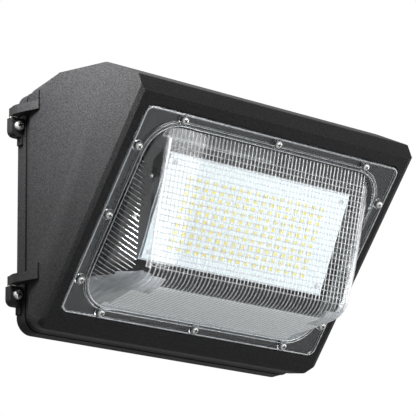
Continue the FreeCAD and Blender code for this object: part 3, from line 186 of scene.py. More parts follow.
# Sizes are in millimetres along, up and out of that plane. A half is half a width and
# half a height, an edge is a place up and out, and a ring is a distance in and a level.
rim_centre = Vector((0, -121.31, -25.60))
rim_tilt = math.radians(39.82)
rim_up = Vector((0, -math.sin(rim_tilt), math.cos(rim_tilt)))
rim_out = Vector((0, -math.cos(rim_tilt), -math.sin(rim_tilt)))
plate_half = (153.25, 103.69)
plate_round = 8.0
plate_level = 0.3
foot_half = (137.25, 90.84)
foot_round = 30.0
high_edge = (83.5, 4.9)
low_edge = (-36.8, 57.5)
edge_half = 123.25
edge_round = 5.0
high_inset_share = 0.7
wall_thick = 2.2
corner_rounds = (30.0, 15.0)
face_rounds = (4.5, 14.0)
crease_start = high_edge[0] + 4
crease_run = 40
side_steps = 12
end_steps = 9
arc_steps = 8
edge_rings = ((0.0, -1.0), (0.1, 1.0), (0.7, 1.3), (1.7, 1.3), (2.3, 1.0), (2.6, 0.3))
bead_rings = ((5.0, 0.3), (4.7, 1.2), (4.2, 1.5), (3.7, 1.2), (3.4, 0.3),
              (2.3, 0.3), (2.0, 1.5), (1.5, 2.1), (0.8, 2.1), (0.3, 1.5))
wall_shares = (0.0, 0.1, 0.25, 0.45, 0.6, 0.7, 0.78, 0.85, 0.91, 0.96, 1.0)
face_insets = (1.5, 3.5, 6, 9, 12, 15.5, 20, 30)


def in_rim(x, up_slope, out):
    """A point given in millimetres along, up and out of the lens's mounting plane."""
    place = rim_centre + Vector((x, 0, 0)) + rim_up * up_slope + rim_out * out
    return place / 1000


def rounded_ring(low_x, high_x, low_y, high_y, radius):
    """Points round a rounded rectangle, the same number for every size."""
    corners = ((high_x, high_y, 1, 1), (low_x, high_y, -1, 1),
               (low_x, low_y, -1, -1), (high_x, low_y, 1, -1))
    ring = []
    for number, (x, y, side_x, side_y) in enumerate(corners):
        centre = (x - side_x * radius, y - side_y * radius)
        for step in range(arc_steps + 1):
            angle = math.radians(90 * (number + step / arc_steps))
            ring.append((centre[0] + radius * math.cos(angle), centre[1] + radius * math.sin(angle)))
        near = ring[-1]
        x, y, side_x, side_y = corners[(number + 1) % 4]
        angle = math.radians(90 * (number + 1))
        far = (x - side_x * radius + radius * math.cos(angle),
               y - side_y * radius + radius * math.sin(angle))
        steps = side_steps if number % 2 == 0 else end_steps
        for step in range(1, steps):
            share = step / steps
            ring.append((near[0] + (far[0] - near[0]) * share, near[1] + (far[1] - near[1]) * share))
    return ring


def grown_ring(half, radius, grow):
    """A rounded rectangle about the middle, grown all round by an amount, or shrunk by less than 0."""
    return rounded_ring(-half[0] - grow, half[0] + grow, -half[1] - grow, half[1] + grow, radius + grow)


def plane_through(first, second):
    """The outward normal and the offset of a wall or the face, from two points of its slope."""
    run, rise = second[0] - first[0], second[1] - first[1]
    size = math.hypot(run, rise)
    across, along = rise / size, -run / size
    return across, along, across * first[0] + along * first[1]


side_plane = plane_through((foot_half[0], plate_level), (edge_half, low_edge[1]))
top_plane = plane_through((foot_half[1], plate_level), high_edge)
face_plane = plane_through(high_edge, low_edge)
sole_plane = plane_through(low_edge, (-foot_half[1], plate_level))


def beyond(plane, across, out):
    """How far a point lies outside a plane."""
    return plane[0] * across + plane[1] * out - plane[2]


def rounded(first, second, radius):
    """How far a point lies outside two faces that meet in a round, from how far it is outside each."""
    return math.hypot(max(0.0, radius + first), max(0.0, radius + second)) - radius


def outside_dome(point):
    """How far a point lies outside the dome, whose faces meet in rounds.

    The corners of its wall tighten outwards, and the creases round its face grow downwards.
    """
    x, y, z = point
    walls = max(beyond(top_plane, y, z), beyond(sole_plane, y, z))
    depth = min(1.0, max(0.0, z / low_edge[1]))
    corner = corner_rounds[0] + (corner_rounds[1] - corner_rounds[0]) * depth
    fall = min(1.0, max(0.0, (crease_start - y) / crease_run))
    crease = face_rounds[0] + (face_rounds[1] - face_rounds[0]) * fall
    return rounded(rounded(beyond(side_plane, abs(x), z), walls, corner), beyond(face_plane, y, z), crease)


def on_dome(x, y, z):
    """Where a line from deep behind the dome, through a point near its skin, comes out of it."""
    share_x, share_y, depth = 0.8, 0.75, -25
    overshoot, halvings = 1.03, 24
    inner = Vector((x * share_x, y * share_y, depth))
    outer = inner + (Vector((x, y, z)) - inner) * overshoot
    near, far = 0.0, 1.0
    for step in range(halvings):
        middle = (near + far) / 2
        if outside_dome(inner.lerp(outer, middle)) > 0:
            far = middle
        else:
            near = middle
    return inner.lerp(outer, far)


def face_height(y):
    """How far out the unrounded face stands at a place up the slope."""
    share = (high_edge[0] - y) / (high_edge[0] - low_edge[0])
    return high_edge[1] + (low_edge[1] - high_edge[1]) * share


def skin(form, rings):
    """Joins rings of vertices, the outermost first, into a skin."""
    for outer, inner in zip(rings, rings[1:]):
        for number in range(len(outer)):
            after = (number + 1) % len(outer)
            form.faces.new((outer[number], outer[after], inner[after], inner[number]))


form = bmesh.new()
levels = []
for inset, level in edge_rings:
    levels.append([Vector((x, y, level)) for x, y in grown_ring(plate_half, plate_round, -inset)])
for grow, level in bead_rings:
    levels.append([Vector((x, y, level)) for x, y in grown_ring(foot_half, foot_round, grow)])
foot = grown_ring(foot_half, foot_round, 0)
edge = rounded_ring(-edge_half, edge_half, low_edge[0], high_edge[0], edge_round)
for share in wall_shares:
    guides = []
    for (foot_x, foot_y), (edge_x, edge_y) in zip(foot, edge):
        low = Vector((foot_x, foot_y, plate_level))
        guides.append(low.lerp(Vector((edge_x, edge_y, face_height(edge_y))), share))
    levels.append([on_dome(*guide) if share else guide for guide in guides])
for inset in face_insets:
    low_y, high_y = low_edge[0] + inset, high_edge[0] - inset * high_inset_share
    ring = rounded_ring(inset - edge_half, edge_half - inset, low_y, high_y, edge_round)
    levels.append([on_dome(x, y, face_height(y)) for x, y in ring])
rings = [[form.verts.new(in_rim(*point)) for point in level] for level in levels]
skin(form, rings)
form.faces.new(rings[-1])
form.normal_update()

# The middle of the dome's sole is satin, and the dome's two low corners are hazy.
satin_depth, satin_half, satin_low, satin_high = -0.4, 117, 3, 50
haze_depth, haze_start, haze_low, haze_high, haze_top = -16, 104, 2, 52, -33
for face in form.faces:
    middle = (Vector(face.calc_center_median()) * 1000) - rim_centre
    x, y, z = middle.x, middle.dot(rim_up), middle.dot(rim_out)
    depth = beyond(sole_plane, y, z)
    if depth > satin_depth and abs(x) < satin_half and satin_low < z < satin_high:
        face.material_index = 1
    elif depth > haze_depth and abs(x) > haze_start and haze_low < z < haze_high and y < haze_top:
        face.material_index = 2

# Moulded polycarbonate is as clear as glass, with a faint cool tint and a polished skin.
clear_lens, tree, shader = new_material("clear_moulded_polycarbonate")
place = add(tree, "ShaderNodeTexCoord").outputs["Object"]
flow = add(tree, "ShaderNodeTexNoise", {"Scale": millimetres(30), "Detail": 1.0}, {"Vector": place})
haze = add(tree, "ShaderNodeMapRange", {"To Min": 0.01, "To Max": 0.05}, {"Value": flow.outputs["Fac"]})
tree.links.new(haze.outputs["Result"], shader.inputs["Roughness"])
shader.inputs["Base Color"].default_value = linear("#F4F8FA")
shader.inputs["Transmission Weight"].default_value = 1.0
shader.inputs["IOR"].default_value = 1.5

# The sole of the dome is satin: prisms about 1 mm apart scatter the light downwards.
# They are drawn 2.1 mm apart, as slanting lines that let more and less light through.
satin_lens, tree, shader = new_material("prismatic_satin_polycarbonate")
hatch_pitch = 0.0021
wave_number = 2 * math.pi / hatch_pitch
slant = (wave_number * 0.75, wave_number * 0.66, 0)
place = add(tree, "ShaderNodeTexCoord").outputs["Object"]
run_length = add(tree, "ShaderNodeVectorMath", {"operation": "DOT_PRODUCT", 1: slant}, {0: place})
hatch = add(tree, "ShaderNodeMath", {"operation": "SINE"}, {0: run_length.outputs["Value"]})
clearness = add(tree, "ShaderNodeMapRange", {"From Min": -1.0, "To Min": 0.05, "To Max": 0.4},
                {"Value": hatch.outputs["Value"]})
tint = add(tree, "ShaderNodeMix", {"data_type": "RGBA", 6: linear("#FAFCFD"), 7: linear("#D3D8DC")},
           {"Factor": hatch.outputs["Value"]})
tree.links.new(tint.outputs[2], shader.inputs["Base Color"])
tree.links.new(clearness.outputs["Result"], shader.inputs["Transmission Weight"])
shader.inputs["IOR"].default_value = 1.585
shader.inputs["Roughness"].default_value = 0.28

# The dome's lower corners have no prisms, only faint flow lines from the moulding, and a
# haze that greys them. The lines run slantwise, and are drawn about 2.5 mm wide and
# 17 mm long.
hazy_lens, tree, shader = new_material("flow_lined_polycarbonate")
place = add(tree, "ShaderNodeTexCoord").outputs["Object"]
stretch = add(tree, "ShaderNodeMapping", {"Rotation": (0.0, 0.0, 0.5), "Scale": (400.0, 60.0, 60.0)},
              {"Vector": place})
streaks = add(tree, "ShaderNodeTexNoise", {"Scale": 1.0, "Detail": 2.0},
              {"Vector": stretch.outputs["Vector"]})
tint = add(tree, "ShaderNodeMix", {"data_type": "RGBA", 6: linear("#B4BABF"), 7: linear("#F2F5F7")},
           {"Factor": streaks.outputs["Fac"]})
clearness = add(tree, "ShaderNodeMapRange", {"To Min": 0.75, "To Max": 0.4},
                {"Value": streaks.outputs["Fac"]})
tree.links.new(tint.outputs[2], shader.inputs["Base Color"])
tree.links.new(clearness.outputs["Result"], shader.inputs["Transmission Weight"])
shader.inputs["IOR"].default_value = 1.5
shader.inputs["Roughness"].default_value = 0.22

lens = new_piece("lens_moulding", form, clear_lens, satin_lens, hazy_lens)
shell = lens.modifiers.new("wall", "SOLIDIFY")
shell.thickness = wall_thick / 1000
shell.offset = -1
lens.visible_shadow = False
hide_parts("lens")
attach(lens, "door")


# Ribs of the lens: half-round strips of the same moulding, 4.4 mm apart along the wall
# and 5.2 mm apart down the face, with rows over its side walls. One broad strip runs
# down each side edge of the face, and thin ones follow the flange's edge and the bead;
# these strips are painted highlights of the face's rounded edges, the flange's edge and the bead.

rib_pitch = 4.4
rib_width = 1.35
rib_height = 0.5
rib_section = ((-0.5, -0.15), (-0.34, 0.62), (0, 1), (0.34, 0.62), (0.5, -0.15))
upright_count = 54
upright_spread = 0.98
upright_top_shares = (0.1, 0.4, 0.7, 1.0)
upright_face_lengths = (2, 5, 10, 60, 112, 116, 119, 122, 125, 128, 131.3)
upright_sole_shares = (0.04, 0.08, 0.12, 0.17, 0.23, 0.6, 0.97)
level_pitch = 5.2
level_first = 4.5
level_last = 121.0
level_stops = (-118, -114, -108, -60, 0, 60, 108, 114, 118)
level_width_share = 0.8
side_first = 57.0
side_last = -72
side_foot = plate_level + 1.5
side_width_share = 0.7
side_shares = (0.0, 0.5, 1.0)
side_lean = (foot_half[0] - edge_half) / (low_edge[1] - plate_level)
edge_highlight_lengths = (3, 8, 20, 60, 100, 116, 122)
edge_highlight_place = 120.5
edge_highlight_width = 4.2
edge_highlight_height = 1.0
highlight_line_height = 0.35
highlight_line_rounds = ((plate_half, plate_round, -1.2, 1.3, 1.2), (foot_half, foot_round, 1.1, 2.1, 0.9),
               (foot_half, foot_round, 4.2, 1.5, 0.7))


def dome_slope(point):
    """Which way the dome's skin faces at a point."""
    step = 0.05
    nudges = (Vector((step, 0, 0)), Vector((0, step, 0)), Vector((0, 0, step)))
    rises = [outside_dome(point + nudge) - outside_dome(point - nudge) for nudge in nudges]
    return Vector(rises).normalized()


def lay_rib(form, path, width, height, out=None, closed=False):
    """A half-round strip along a path of points, on the dome's skin or facing a given way."""
    rows = []
    for number, point in enumerate(path):
        facing = out or dome_slope(point)
        before = number - 1 if closed else max(number - 1, 0)
        after = (number + 1) % len(path) if closed else min(number + 1, len(path) - 1)
        side = (path[after] - path[before]).cross(facing).normalized()
        row = [point + side * reach * width + facing * rise * height for reach, rise in rib_section]
        rows.append([form.verts.new(in_rim(*corner)) for corner in row])
    for first, second in zip(rows, rows[1:] + rows[:1] if closed else rows[1:]):
        for number in range(len(rib_section) - 1):
            form.faces.new((first[number], first[number + 1], second[number + 1], second[number]))


def down_face(length):
    """The place up and out that lies a length down the face from its high edge."""
    run = high_edge[0] - low_edge[0]
    y = high_edge[0] - run * length / math.hypot(run, low_edge[1] - high_edge[1])
    return y, face_height(y)


def side_top(y):
    """Where a side wall's rib ends: along the face's slope, and lower down at 45 degrees."""
    start, level, slope, sum_at_end = 58.3, 2.7, 0.447, 76.6
    return min(level + slope * (start - y), y + sum_at_end)


ribs = bmesh.new()
top_run, top_rise = foot_half[1] - high_edge[0], high_edge[1] - plate_level
sole_run = low_edge[0] + foot_half[1]
upright_guides = []
for share in upright_top_shares:
    upright_guides.append((foot_half[1] - top_run * share, plate_level + top_rise * share))
for length in upright_face_lengths:
    upright_guides.append(down_face(length))
for share in upright_sole_shares:
    upright_guides.append((low_edge[0] - sole_run * share, low_edge[1] * (1 - share) + plate_level * share))
for number in range(upright_count):
    x = (number - (upright_count - 1) / 2) * rib_pitch
    path = []
    for y, z in upright_guides:
        point = on_dome(x / upright_spread, y, z)
        path.append(Vector((x, point.y, point.z)))
    lay_rib(ribs, path, rib_width, rib_height)

length = level_first
while length < level_last:
    path = [on_dome(x, *down_face(length)) for x in level_stops]
    lay_rib(ribs, path, rib_width * level_width_share, rib_height)
    length += level_pitch

for side in (-1, 1):
    y = side_first
    while y > side_last:
        path = []
        for share in side_shares:
            z = side_foot + (side_top(y) - side_foot) * share
            path.append(on_dome(side * (foot_half[0] - (z - plate_level) * side_lean), y, z))
        lay_rib(ribs, path, rib_width * side_width_share, rib_height)
        y -= rib_pitch
    # The broad strip down each side edge is a painted highlight of the face's rounded edge.
    path = [on_dome(side * edge_highlight_place, *down_face(length)) for length in edge_highlight_lengths]
    lay_rib(ribs, path, edge_highlight_width, edge_highlight_height)

# Thin painted highlight lines along the flange's edge and the bead.
for half, radius, grow, level, width in highlight_line_rounds:
    path = [Vector((x, y, level)) for x, y in grown_ring(half, radius, grow)]
    lay_rib(ribs, path, width, highlight_line_height, Vector((0, 0, 1)), True)

# Each rib's crest is painted white and half clear: a painted highlight for the light of the sky that the
# clear moulding gathers round it.
bright_rib, tree, shader = new_material("painted_highlight_rib_crest")
place = add(tree, "ShaderNodeTexCoord").outputs["Object"]
glint = add(tree, "ShaderNodeTexNoise", {"Scale": millimetres(2.5), "Detail": 2.0}, {"Vector": place})
tint = add(tree, "ShaderNodeMix", {"data_type": "RGBA", 6: linear("#D5DBE0"), 7: linear("#FFFFFF")},
           {"Factor": glint.outputs["Fac"]})
cover = add(tree, "ShaderNodeMapRange", {"From Min": 0.3, "From Max": 0.7, "To Min": 0.35, "To Max": 0.75},
            {"Value": glint.outputs["Fac"]})
tree.links.new(tint.outputs[2], shader.inputs["Base Color"])
tree.links.new(cover.outputs["Result"], shader.inputs["Alpha"])
shader.inputs["Roughness"].default_value = 0.2
shader.inputs["Metallic"].default_value = 0.4

lens_ribs = new_piece("lens_ribs", ribs, bright_rib)
lens_ribs.visible_shadow = False
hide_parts("lens")
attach(lens_ribs, "door")


# Screw bosses of the lens: twelve round clear pads, moulded with it, one under each
# screw's head. Three stand along each long side and three along each short side.

long_row = ((-110.4, 0.0, 110.4), 97.69)
short_row = (146.25, (64.6, -4.0, -69.5))
screw_places = [(x, side * long_row[1]) for x in long_row[0] for side in (-1, 1)]
screw_places += [(side * short_row[0], y) for side in (-1, 1) for y in short_row[1]]
boss_section = ((1.8, 0.32), (1.8, 2.28), (4.6, 2.28), (5.2, 1.9), (5.3, 0.32))
round_steps = 28
round_turns = [2 * math.pi * step / round_steps for step in range(round_steps)]

bosses = bmesh.new()
for x, y in screw_places:
    rings = []
    for radius, level in boss_section:
        ring = [(x + radius * math.cos(turn), y + radius * math.sin(turn)) for turn in round_turns]
        rings.append([bosses.verts.new(in_rim(*point, level)) for point in ring])
    skin(bosses, rings[::-1] + [rings[-1]])
lens_bosses = new_piece("lens_bosses", bosses, clear_lens)
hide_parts("lens")
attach(lens_bosses, "door")


# Screws: zinc plated steel with a domed pan head and a cross recess, cold formed. The
# twelve small ones hold the lens down; the larger ones lock the hinges and close the door.

# Sizes are in metres, but a head's section is in shares of its radius and its height, and
# its recess in shares of its radius. A spin is the first screw's turn and the turn added.
head_section = ((1.0, 0.0), (1.0, 0.30), (0.97, 0.52), (0.90, 0.74), (0.80, 0.90), (0.72, 0.97))
head_rise = 0.36
recess_reach = 0.60
recess_half = 0.14
recess_floor = 0.25
shank_steps = 12
shank_lap = 0.0001
small_head, small_shank, small_length = 0.0068, 0.0017, 0.0093
small_seat_level = 2.3
small_spin = (0.7, 1.9)
large_head, large_shank = 0.0094, 0.0022
large_heights = (0.0806, -0.0827)
lock_place, lock_length, lock_spin = (-0.1664, -0.0086), 0.0078, (0.35, 0.9)
closing_place, closing_length, closing_spin = (0.17375, -0.0258), 0.0185, (0.9, 1.3)
across = Vector((1, 0, 0))
upward = Vector((0, 0, 1))
outward = Vector((0, -1, 0))

# Bright zinc plate: pale, worn unevenly, and a little milky, so it is not quite all metal.
zinc_plate, tree, shader = new_material("bright_zinc_plated_steel")
place = add(tree, "ShaderNodeTexCoord").outputs["Object"]
wear_and_shade_mottle = add(tree, "ShaderNodeTexNoise", {"Scale": millimetres(1.5), "Detail": 3.0}, {"Vector": place})
tint = add(tree, "ShaderNodeMix", {"data_type": "RGBA", 6: linear("#C4C5C6"), 7: linear("#F0EFEB")},
           {"Factor": wear_and_shade_mottle.outputs["Fac"]})
gloss = add(tree, "ShaderNodeMapRange", {"To Min": 0.20, "To Max": 0.36}, {"Value": wear_and_shade_mottle.outputs["Fac"]})
tree.links.new(tint.outputs[2], shader.inputs["Base Color"])
tree.links.new(gloss.outputs["Result"], shader.inputs["Roughness"])
shader.inputs["Metallic"].default_value = 0.8

# The recess is painted dark, dull steel: painted shade inside the punched cross.
shaded_recess, tree, shader = new_material("painted_shade_steel_recess")
place = add(tree, "ShaderNodeTexCoord").outputs["Object"]
wear_and_shade_mottle = add(tree, "ShaderNodeTexNoise", {"Scale": millimetres(0.8), "Detail": 2.0}, {"Vector": place})
tint = add(tree, "ShaderNodeMix", {"data_type": "RGBA", 6: linear("#2B2A29"), 7: linear("#4C4A47")},
           {"Factor": wear_and_shade_mottle.outputs["Fac"]})
tree.links.new(tint.outputs[2], shader.inputs["Base Color"])
shader.inputs["Metallic"].default_value = 1.0
shader.inputs["Roughness"].default_value = 0.55


def add_head(form, seat, side, out, diameter, spin):
    """A pan head on its seat, with a cross recess punched in its crown."""
    radius = diameter / 2
    height = diameter * head_rise
    rings = []
    for reach, rise in head_section:
        ring = []
        for turn in round_turns:
            offset = across * math.cos(turn) + side * math.sin(turn)
            ring.append(form.verts.new(seat + offset * reach * radius + out * rise * height))
        rings.append(ring)
    skin(form, rings)
    reach, half = recess_reach * radius, recess_half * radius
    outline = []
    for quarter in range(4):
        turn = spin + quarter * math.pi / 2
        cosine, sine = math.cos(turn), math.sin(turn)
        for x, y in ((half, half), (half, reach), (-half, reach)):
            outline.append((x * cosine - y * sine, x * sine + y * cosine))
    floors = []
    for level in (1.0, recess_floor):
        corners = [seat + across * x + side * y + out * level * height for x, y in outline]
        floors.append([form.verts.new(corner) for corner in corners])
    edges = []
    for loop in (rings[-1], floors[0]):
        for number, vertex in enumerate(loop):
            ends = (vertex, loop[number - 1])
            edges.append(form.edges.get(ends) or form.edges.new(ends))
    bmesh.ops.triangle_fill(form, use_beauty=True, edges=edges, normal=out)
    # The recess's walls and floor take the second finish, its painted shade.
    for number in range(len(outline)):
        corners = (floors[0][number - 1], floors[0][number], floors[1][number], floors[1][number - 1])
        form.faces.new(corners).material_index = 1
    form.faces.new(floors[1]).material_index = 1


def add_shank(form, seat, side, out, radius, length):
    """A plain round shank that runs from under a head into the part below."""
    rings = []
    for depth in (-shank_lap, length):
        ring = []
        for step in range(shank_steps):
            turn = 2 * math.pi * step / shank_steps
            place = seat - out * depth + across * radius * math.cos(turn) + side * radius * math.sin(turn)
            ring.append(form.verts.new(place))
        rings.append(ring)
    skin(form, rings)
    form.faces.new(rings[0])
    form.faces.new(rings[1][::-1])


def finish_screws(form, name, node, body):
    """Turns finished heads and shanks into the piece that stands for a node's screws."""
    bmesh.ops.recalc_face_normals(form, faces=form.faces)
    screws = new_piece(name, form, zinc_plate, shaded_recess)
    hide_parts(node)
    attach(screws, body)


def dress(nodes, material):
    """Gives a finish to nodes whose own solid is shown as it is."""
    for node in nodes:
        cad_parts[node].data.materials.clear()
        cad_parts[node].data.materials.append(material)


lens_heads = bmesh.new()
for number, (x, y) in enumerate(screw_places):
    seat = in_rim(x, y, small_seat_level)
    add_head(lens_heads, seat, rim_up, rim_out, small_head, small_spin[0] + number * small_spin[1])
    add_shank(lens_heads, seat, rim_up, rim_out, small_shank, small_length)
finish_screws(lens_heads, "lens_screws_pan_head", "lens_screws", "door")

lock_heads = bmesh.new()
closing_heads = bmesh.new()
for number, height in enumerate(large_heights):
    seat = Vector((*lock_place, height))
    add_head(lock_heads, seat, upward, outward, large_head, lock_spin[0] + number * lock_spin[1])
    add_shank(lock_heads, seat, upward, outward, large_shank, lock_length)
    seat = Vector((*closing_place, height))
    add_head(closing_heads, seat, upward, outward, large_head, closing_spin[0] + number * closing_spin[1])
    add_shank(closing_heads, seat, upward, outward, large_shank, closing_length)
finish_screws(lock_heads, "hinge_lock_screws_pan_head", "hinge_lock_screws", "wall_box")
finish_screws(closing_heads, "closing_screws_pan_head", "closing_screws", "door")

dress(("board_screws", "bracket_screws", "heat_sink_screws", "driver_screws", "terminal_screws",
       "terminal_block_screw", "earth_screw", "closing_washers", "hinge_pins"), zinc_plate)


# Seals and bush: black silicone rubber. The cord between box and door lies in the box's
# channel; it is drawn squeezed out 0.5 mm all round the seam as a thin black lip, which
# is a guess, and that black line is also painted shade for the seam's shadowed groove.
# The lens's seal lies hidden under its flange.

# The cord's section is in millimetres: in from the box's side, and along the depth.
box_half = (161.2, 117.0)
box_round = 15.0
seal_section = ((1.72, -11.5), (4.68, -11.5), (4.68, -14.26), (0.0, -14.26), (-0.08, -15.3), (-0.35, -15.1),
                (-0.5, -14.15), (-0.35, -13.2), (-0.08, -13.0), (0.0, -14.04), (1.72, -14.04))

# Black silicone is matt and almost without a shine, with a faint bloom.
black_silicone, tree, shader = new_material("black_silicone_rubber")
place = add(tree, "ShaderNodeTexCoord").outputs["Object"]
bloom = add(tree, "ShaderNodeTexNoise", {"Scale": millimetres(4), "Detail": 3.0}, {"Vector": place})
tint = add(tree, "ShaderNodeMix", {"data_type": "RGBA", 6: linear("#050505"), 7: linear("#0C0C0C")},
           {"Factor": bloom.outputs["Fac"]})
tree.links.new(tint.outputs[2], shader.inputs["Base Color"])
shader.inputs["Specular IOR Level"].default_value = 0.05
shader.inputs["Roughness"].default_value = 0.8
dress(("lens_seal", "entry_grommet"), black_silicone)

# The lip's black line round the seam is painted shade as well as rubber.
cord = bmesh.new()
rings = []
for inset, depth in seal_section:
    ring = grown_ring(box_half, box_round, -inset)
    rings.append([cord.verts.new((x / 1000, depth / 1000, z / 1000)) for x, z in ring])
skin(cord, rings + [rings[0]])
bmesh.ops.recalc_face_normals(cord, faces=cord.faces)
door_seal = new_piece("door_seal_lip_as_seam_shade", cord, black_silicone)
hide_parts("door_seal")
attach(door_seal, "wall_box")


# Hinge washers and terminal block: moulded in natural nylon. The washers lie between the
# door's arms and the box's ears, and the block is screwed down inside the housing.

# Natural nylon is milky and a little waxy.
natural_nylon, tree, shader = new_material("natural_nylon")
place = add(tree, "ShaderNodeTexCoord").outputs["Object"]
milk = add(tree, "ShaderNodeTexNoise", {"Scale": millimetres(3), "Detail": 2.0}, {"Vector": place})
tint = add(tree, "ShaderNodeMix", {"data_type": "RGBA", 6: linear("#DCD8CC"), 7: linear("#EAE7DE")},
           {"Factor": milk.outputs["Fac"]})
tree.links.new(tint.outputs[2], shader.inputs["Base Color"])
shader.inputs["Roughness"].default_value = 0.42
dress(("hinge_washers", "terminal_block"), natural_nylon)


# Heat sink, driver and pad: an extruded sink behind the lamp board, a drawn case with the
# lamp's driver in it, and a soft pad between sink and board. All three are screwed or
# pressed in place inside the housing.

# Extruded aluminium is bare, with fine drawing lines that run along it.
bare_aluminium, tree, shader = new_material("extruded_aluminium")
place = add(tree, "ShaderNodeTexCoord").outputs["Object"]
stretch = add(tree, "ShaderNodeMapping", {"Scale": (30.0, 1500.0, 1500.0)}, {"Vector": place})
lines = add(tree, "ShaderNodeTexNoise", {"Scale": 1.0, "Detail": 2.0}, {"Vector": stretch.outputs["Vector"]})
tint = add(tree, "ShaderNodeMix", {"data_type": "RGBA", 6: linear("#A9ABAD"), 7: linear("#C6C8CA")},
           {"Factor": lines.outputs["Fac"]})
tree.links.new(tint.outputs[2], shader.inputs["Base Color"])
shader.inputs["Metallic"].default_value = 1.0
shader.inputs["Roughness"].default_value = 0.42
dress(("heat_sink",), bare_aluminium)

# The driver's case is drawn aluminium with a satin skin, faintly clouded.
satin_case, tree, shader = new_material("satin_driver_case")
place = add(tree, "ShaderNodeTexCoord").outputs["Object"]
cloud = add(tree, "ShaderNodeTexNoise", {"Scale": millimetres(8), "Detail": 3.0}, {"Vector": place})
tint = add(tree, "ShaderNodeMix", {"data_type": "RGBA", 6: linear("#BFC1C2"), 7: linear("#D0D1D2")},
           {"Factor": cloud.outputs["Fac"]})
tree.links.new(tint.outputs[2], shader.inputs["Base Color"])
shader.inputs["Metallic"].default_value = 1.0
shader.inputs["Roughness"].default_value = 0.5
dress(("led_driver",), satin_case)

# The pad is matt grey silicone, speckled by its filler.
grey_pad, tree, shader = new_material("grey_silicone_pad")
place = add(tree, "ShaderNodeTexCoord").outputs["Object"]
filler = add(tree, "ShaderNodeTexNoise", {"Scale": millimetres(0.6), "Detail": 2.0}, {"Vector": place})
tint = add(tree, "ShaderNodeMix", {"data_type": "RGBA", 6: linear("#A9AEB0"), 7: linear("#B7BCBE")},
           {"Factor": filler.outputs["Fac"]})
tree.links.new(tint.outputs[2], shader.inputs["Base Color"])
shader.inputs["Roughness"].default_value = 0.8
dress(("thermal_pad",), grey_pad)


# Brackets: folded steel strips, one at each side inside the housing, screwed down there.
# They have the same dark coat as the castings.

dress(("left_bracket", "right_bracket"), powder_coat)


# Leads: stranded wire in plastic sheaths, with a colour for each job. They run inside the
# housing and swing with it.

lead_colours = (("live_lead", "#5E3A22", "#6B452B"), ("neutral_lead", "#2A62AE", "#3570BC"),
                ("earth_lead", "#4C9A3C", "#5BA84A"), ("negative_lead", "#1E1E1F", "#2A2A2B"),
                ("positive_lead", "#B3261E", "#C23128"))

# Each sheath is smooth, and faintly mottled by handling.
for node, dark, pale in lead_colours:
    sheath, tree, shader = new_material(node + "_sheath")
    place = add(tree, "ShaderNodeTexCoord").outputs["Object"]
    mottle = add(tree, "ShaderNodeTexNoise", {"Scale": millimetres(5), "Detail": 2.0}, {"Vector": place})
    tint = add(tree, "ShaderNodeMix", {"data_type": "RGBA", 6: linear(dark), 7: linear(pale)},
               {"Factor": mottle.outputs["Fac"]})
    tree.links.new(tint.outputs[2], shader.inputs["Base Color"])
    shader.inputs["Roughness"].default_value = 0.4
    dress((node,), sheath)


# Lamp board: white solder mask over an aluminium core. Its chips are 170 white plastic
# packages, soldered in ten rows, each filled to its brim with clear silicone that
# carries a yellow phosphor.

# Sizes are in metres. A row of the chip's section is half a width, half a height, a level.
board_centre = Vector((0, -0.1401, -0.0195))
board_tilt = math.radians(27.8)
board_up = Vector((0, -math.sin(board_tilt), math.cos(board_tilt)))
board_out = Vector((0, -math.cos(board_tilt), -math.sin(board_tilt)))
chip_rows, row_pitch = 10, 0.00725
chip_columns, column_pitch = 17, 0.010
chip_drop = 0.002
chip_section = ((0.0025, 0.00215, 0.0), (0.0025, 0.00215, 0.0006), (0.0024, 0.00205, 0.0007),
                (0.0021, 0.0018, 0.0007), (0.0020, 0.0017, 0.00062))
chip_corners = ((1, 1), (-1, 1), (-1, -1), (1, -1))

# White solder mask is cool white and half glossy, faintly clouded.
white_mask, tree, shader = new_material("white_solder_mask")
place = add(tree, "ShaderNodeTexCoord").outputs["Object"]
cloud = add(tree, "ShaderNodeTexNoise", {"Scale": millimetres(12), "Detail": 2.0}, {"Vector": place})
tint = add(tree, "ShaderNodeMix", {"data_type": "RGBA", 6: linear("#E6EEF2"), 7: linear("#F2F7F9")},
           {"Factor": cloud.outputs["Fac"]})
tree.links.new(tint.outputs[2], shader.inputs["Base Color"])
shader.inputs["Roughness"].default_value = 0.35
dress(("led_board",), white_mask)

# Phosphor in silicone is a warm yellow, unevenly settled.
phosphor, tree, shader = new_material("yellow_phosphor_silicone")
place = add(tree, "ShaderNodeTexCoord").outputs["Object"]
cloud = add(tree, "ShaderNodeTexNoise", {"Scale": millimetres(1.2), "Detail": 2.0}, {"Vector": place})
tint = add(tree, "ShaderNodeMix", {"data_type": "RGBA", 6: linear("#EFD53C"), 7: linear("#F8E76A")},
           {"Factor": cloud.outputs["Fac"]})
tree.links.new(tint.outputs[2], shader.inputs["Base Color"])
shader.inputs["Roughness"].default_value = 0.4

chips = bmesh.new()
for row in range(chip_rows):
    for column in range(chip_columns):
        right_shift = (column - (chip_columns - 1) / 2) * column_pitch
        up_shift = (row - (chip_rows - 1) / 2) * row_pitch - chip_drop
        centre = board_centre + Vector((right_shift, 0, 0)) + board_up * up_shift
        rings = []
        for half_width, half_height, level in chip_section:
            ring = []
            for x, y in chip_corners:
                corner = centre + across * x * half_width + board_up * y * half_height + board_out * level
                ring.append(chips.verts.new(corner))
            rings.append(ring)
        skin(chips, rings)
        chips.faces.new(rings[-1]).material_index = 1
        chips.faces.new(rings[0][::-1])
led_chips = new_piece("led_chips_packages", chips, white_mask, phosphor)
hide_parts("led_chips")
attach(led_chips, "door")


# Stage: a plain pale floor well below the light, soft studio light and a white surround.
# The surround is full white where it is seen, mirrored or looked at through the lens,
# and dimmer as a lamp, so that the dark coat stays dark.

floor_half = 6
floor_drop = 0.35
surround_as_lamp = 0.36

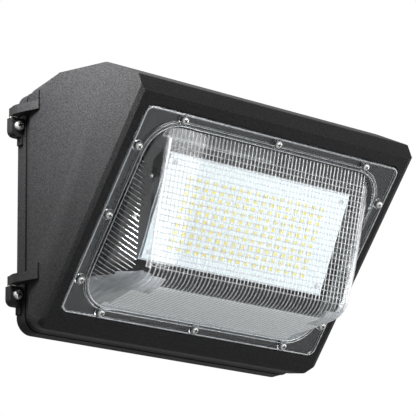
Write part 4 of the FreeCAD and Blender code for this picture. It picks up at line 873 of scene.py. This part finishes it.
floor_form = bmesh.new()
bmesh.ops.create_grid(floor_form, x_segments=1, y_segments=1, size=floor_half)
pale_floor, tree, shader = new_material("pale_studio_floor")
shader.inputs["Base Color"].default_value = linear("#F2F2F2")
shader.inputs["Roughness"].default_value = 0.8
floor = new_piece("floor", floor_form, pale_floor)
floor.location.z = camera_place.z - floor_drop

world = bpy.data.worlds.new("white_surround")
world.use_nodes = True
scene.world = world
tree = world.node_tree
surround = tree.nodes["Background"]
surround.inputs["Color"].default_value = linear("#FFFFFF")
path = add(tree, "ShaderNodeLightPath")
seen = path.outputs["Is Camera Ray"]
for ray in ("Is Glossy Ray", "Is Transmission Ray"):
    either = add(tree, "ShaderNodeMath", {"operation": "MAXIMUM"}, {0: seen, 1: path.outputs[ray]})
    seen = either.outputs["Value"]
direct = add(tree, "ShaderNodeMath", {"operation": "SUBTRACT", "use_clamp": True},
             {0: seen, 1: path.outputs["Diffuse Depth"]})
level = add(tree, "ShaderNodeMapRange", {"To Min": surround_as_lamp, "To Max": 1.0},
            {"Value": direct.outputs["Value"]})
tree.links.new(level.outputs["Result"], surround.inputs["Strength"])


def softbox(name, place, target, width, height, power, spread=180):
    """A rectangular studio lamp that points at a target and isn't seen itself."""
    data = bpy.data.lights.new(name, "AREA")
    data.shape = "RECTANGLE"
    data.spread = math.radians(spread)
    data.size = width
    data.size_y = height
    data.energy = power
    lamp = bpy.data.objects.new(name, data)
    lamp.location = place
    lamp.rotation_euler = (Vector(target) - Vector(place)).to_track_quat("-Z", "Y").to_euler()
    lamp.visible_camera = False
    scene.collection.objects.link(lamp)


# The left lamp is small, near and narrow, so the side face's light falls off from its top
# front corner. The front one lights the lens and the board, the right one the right edge.
softbox("left_softbox", (-0.34, -0.095, 0.26), (-0.165, -0.125, 0.085), 0.16, 0.16, 1.9, 88)
softbox("front_softbox", (0.5, -2.1, -0.45), (0, -0.1, 0), 1.6, 1.0, 18)
softbox("right_softbox", (0.83, -0.48, -0.25), (0.15, -0.13, 0), 0.4, 0.4, 1.6)

scene.view_settings.view_transform = "Standard"
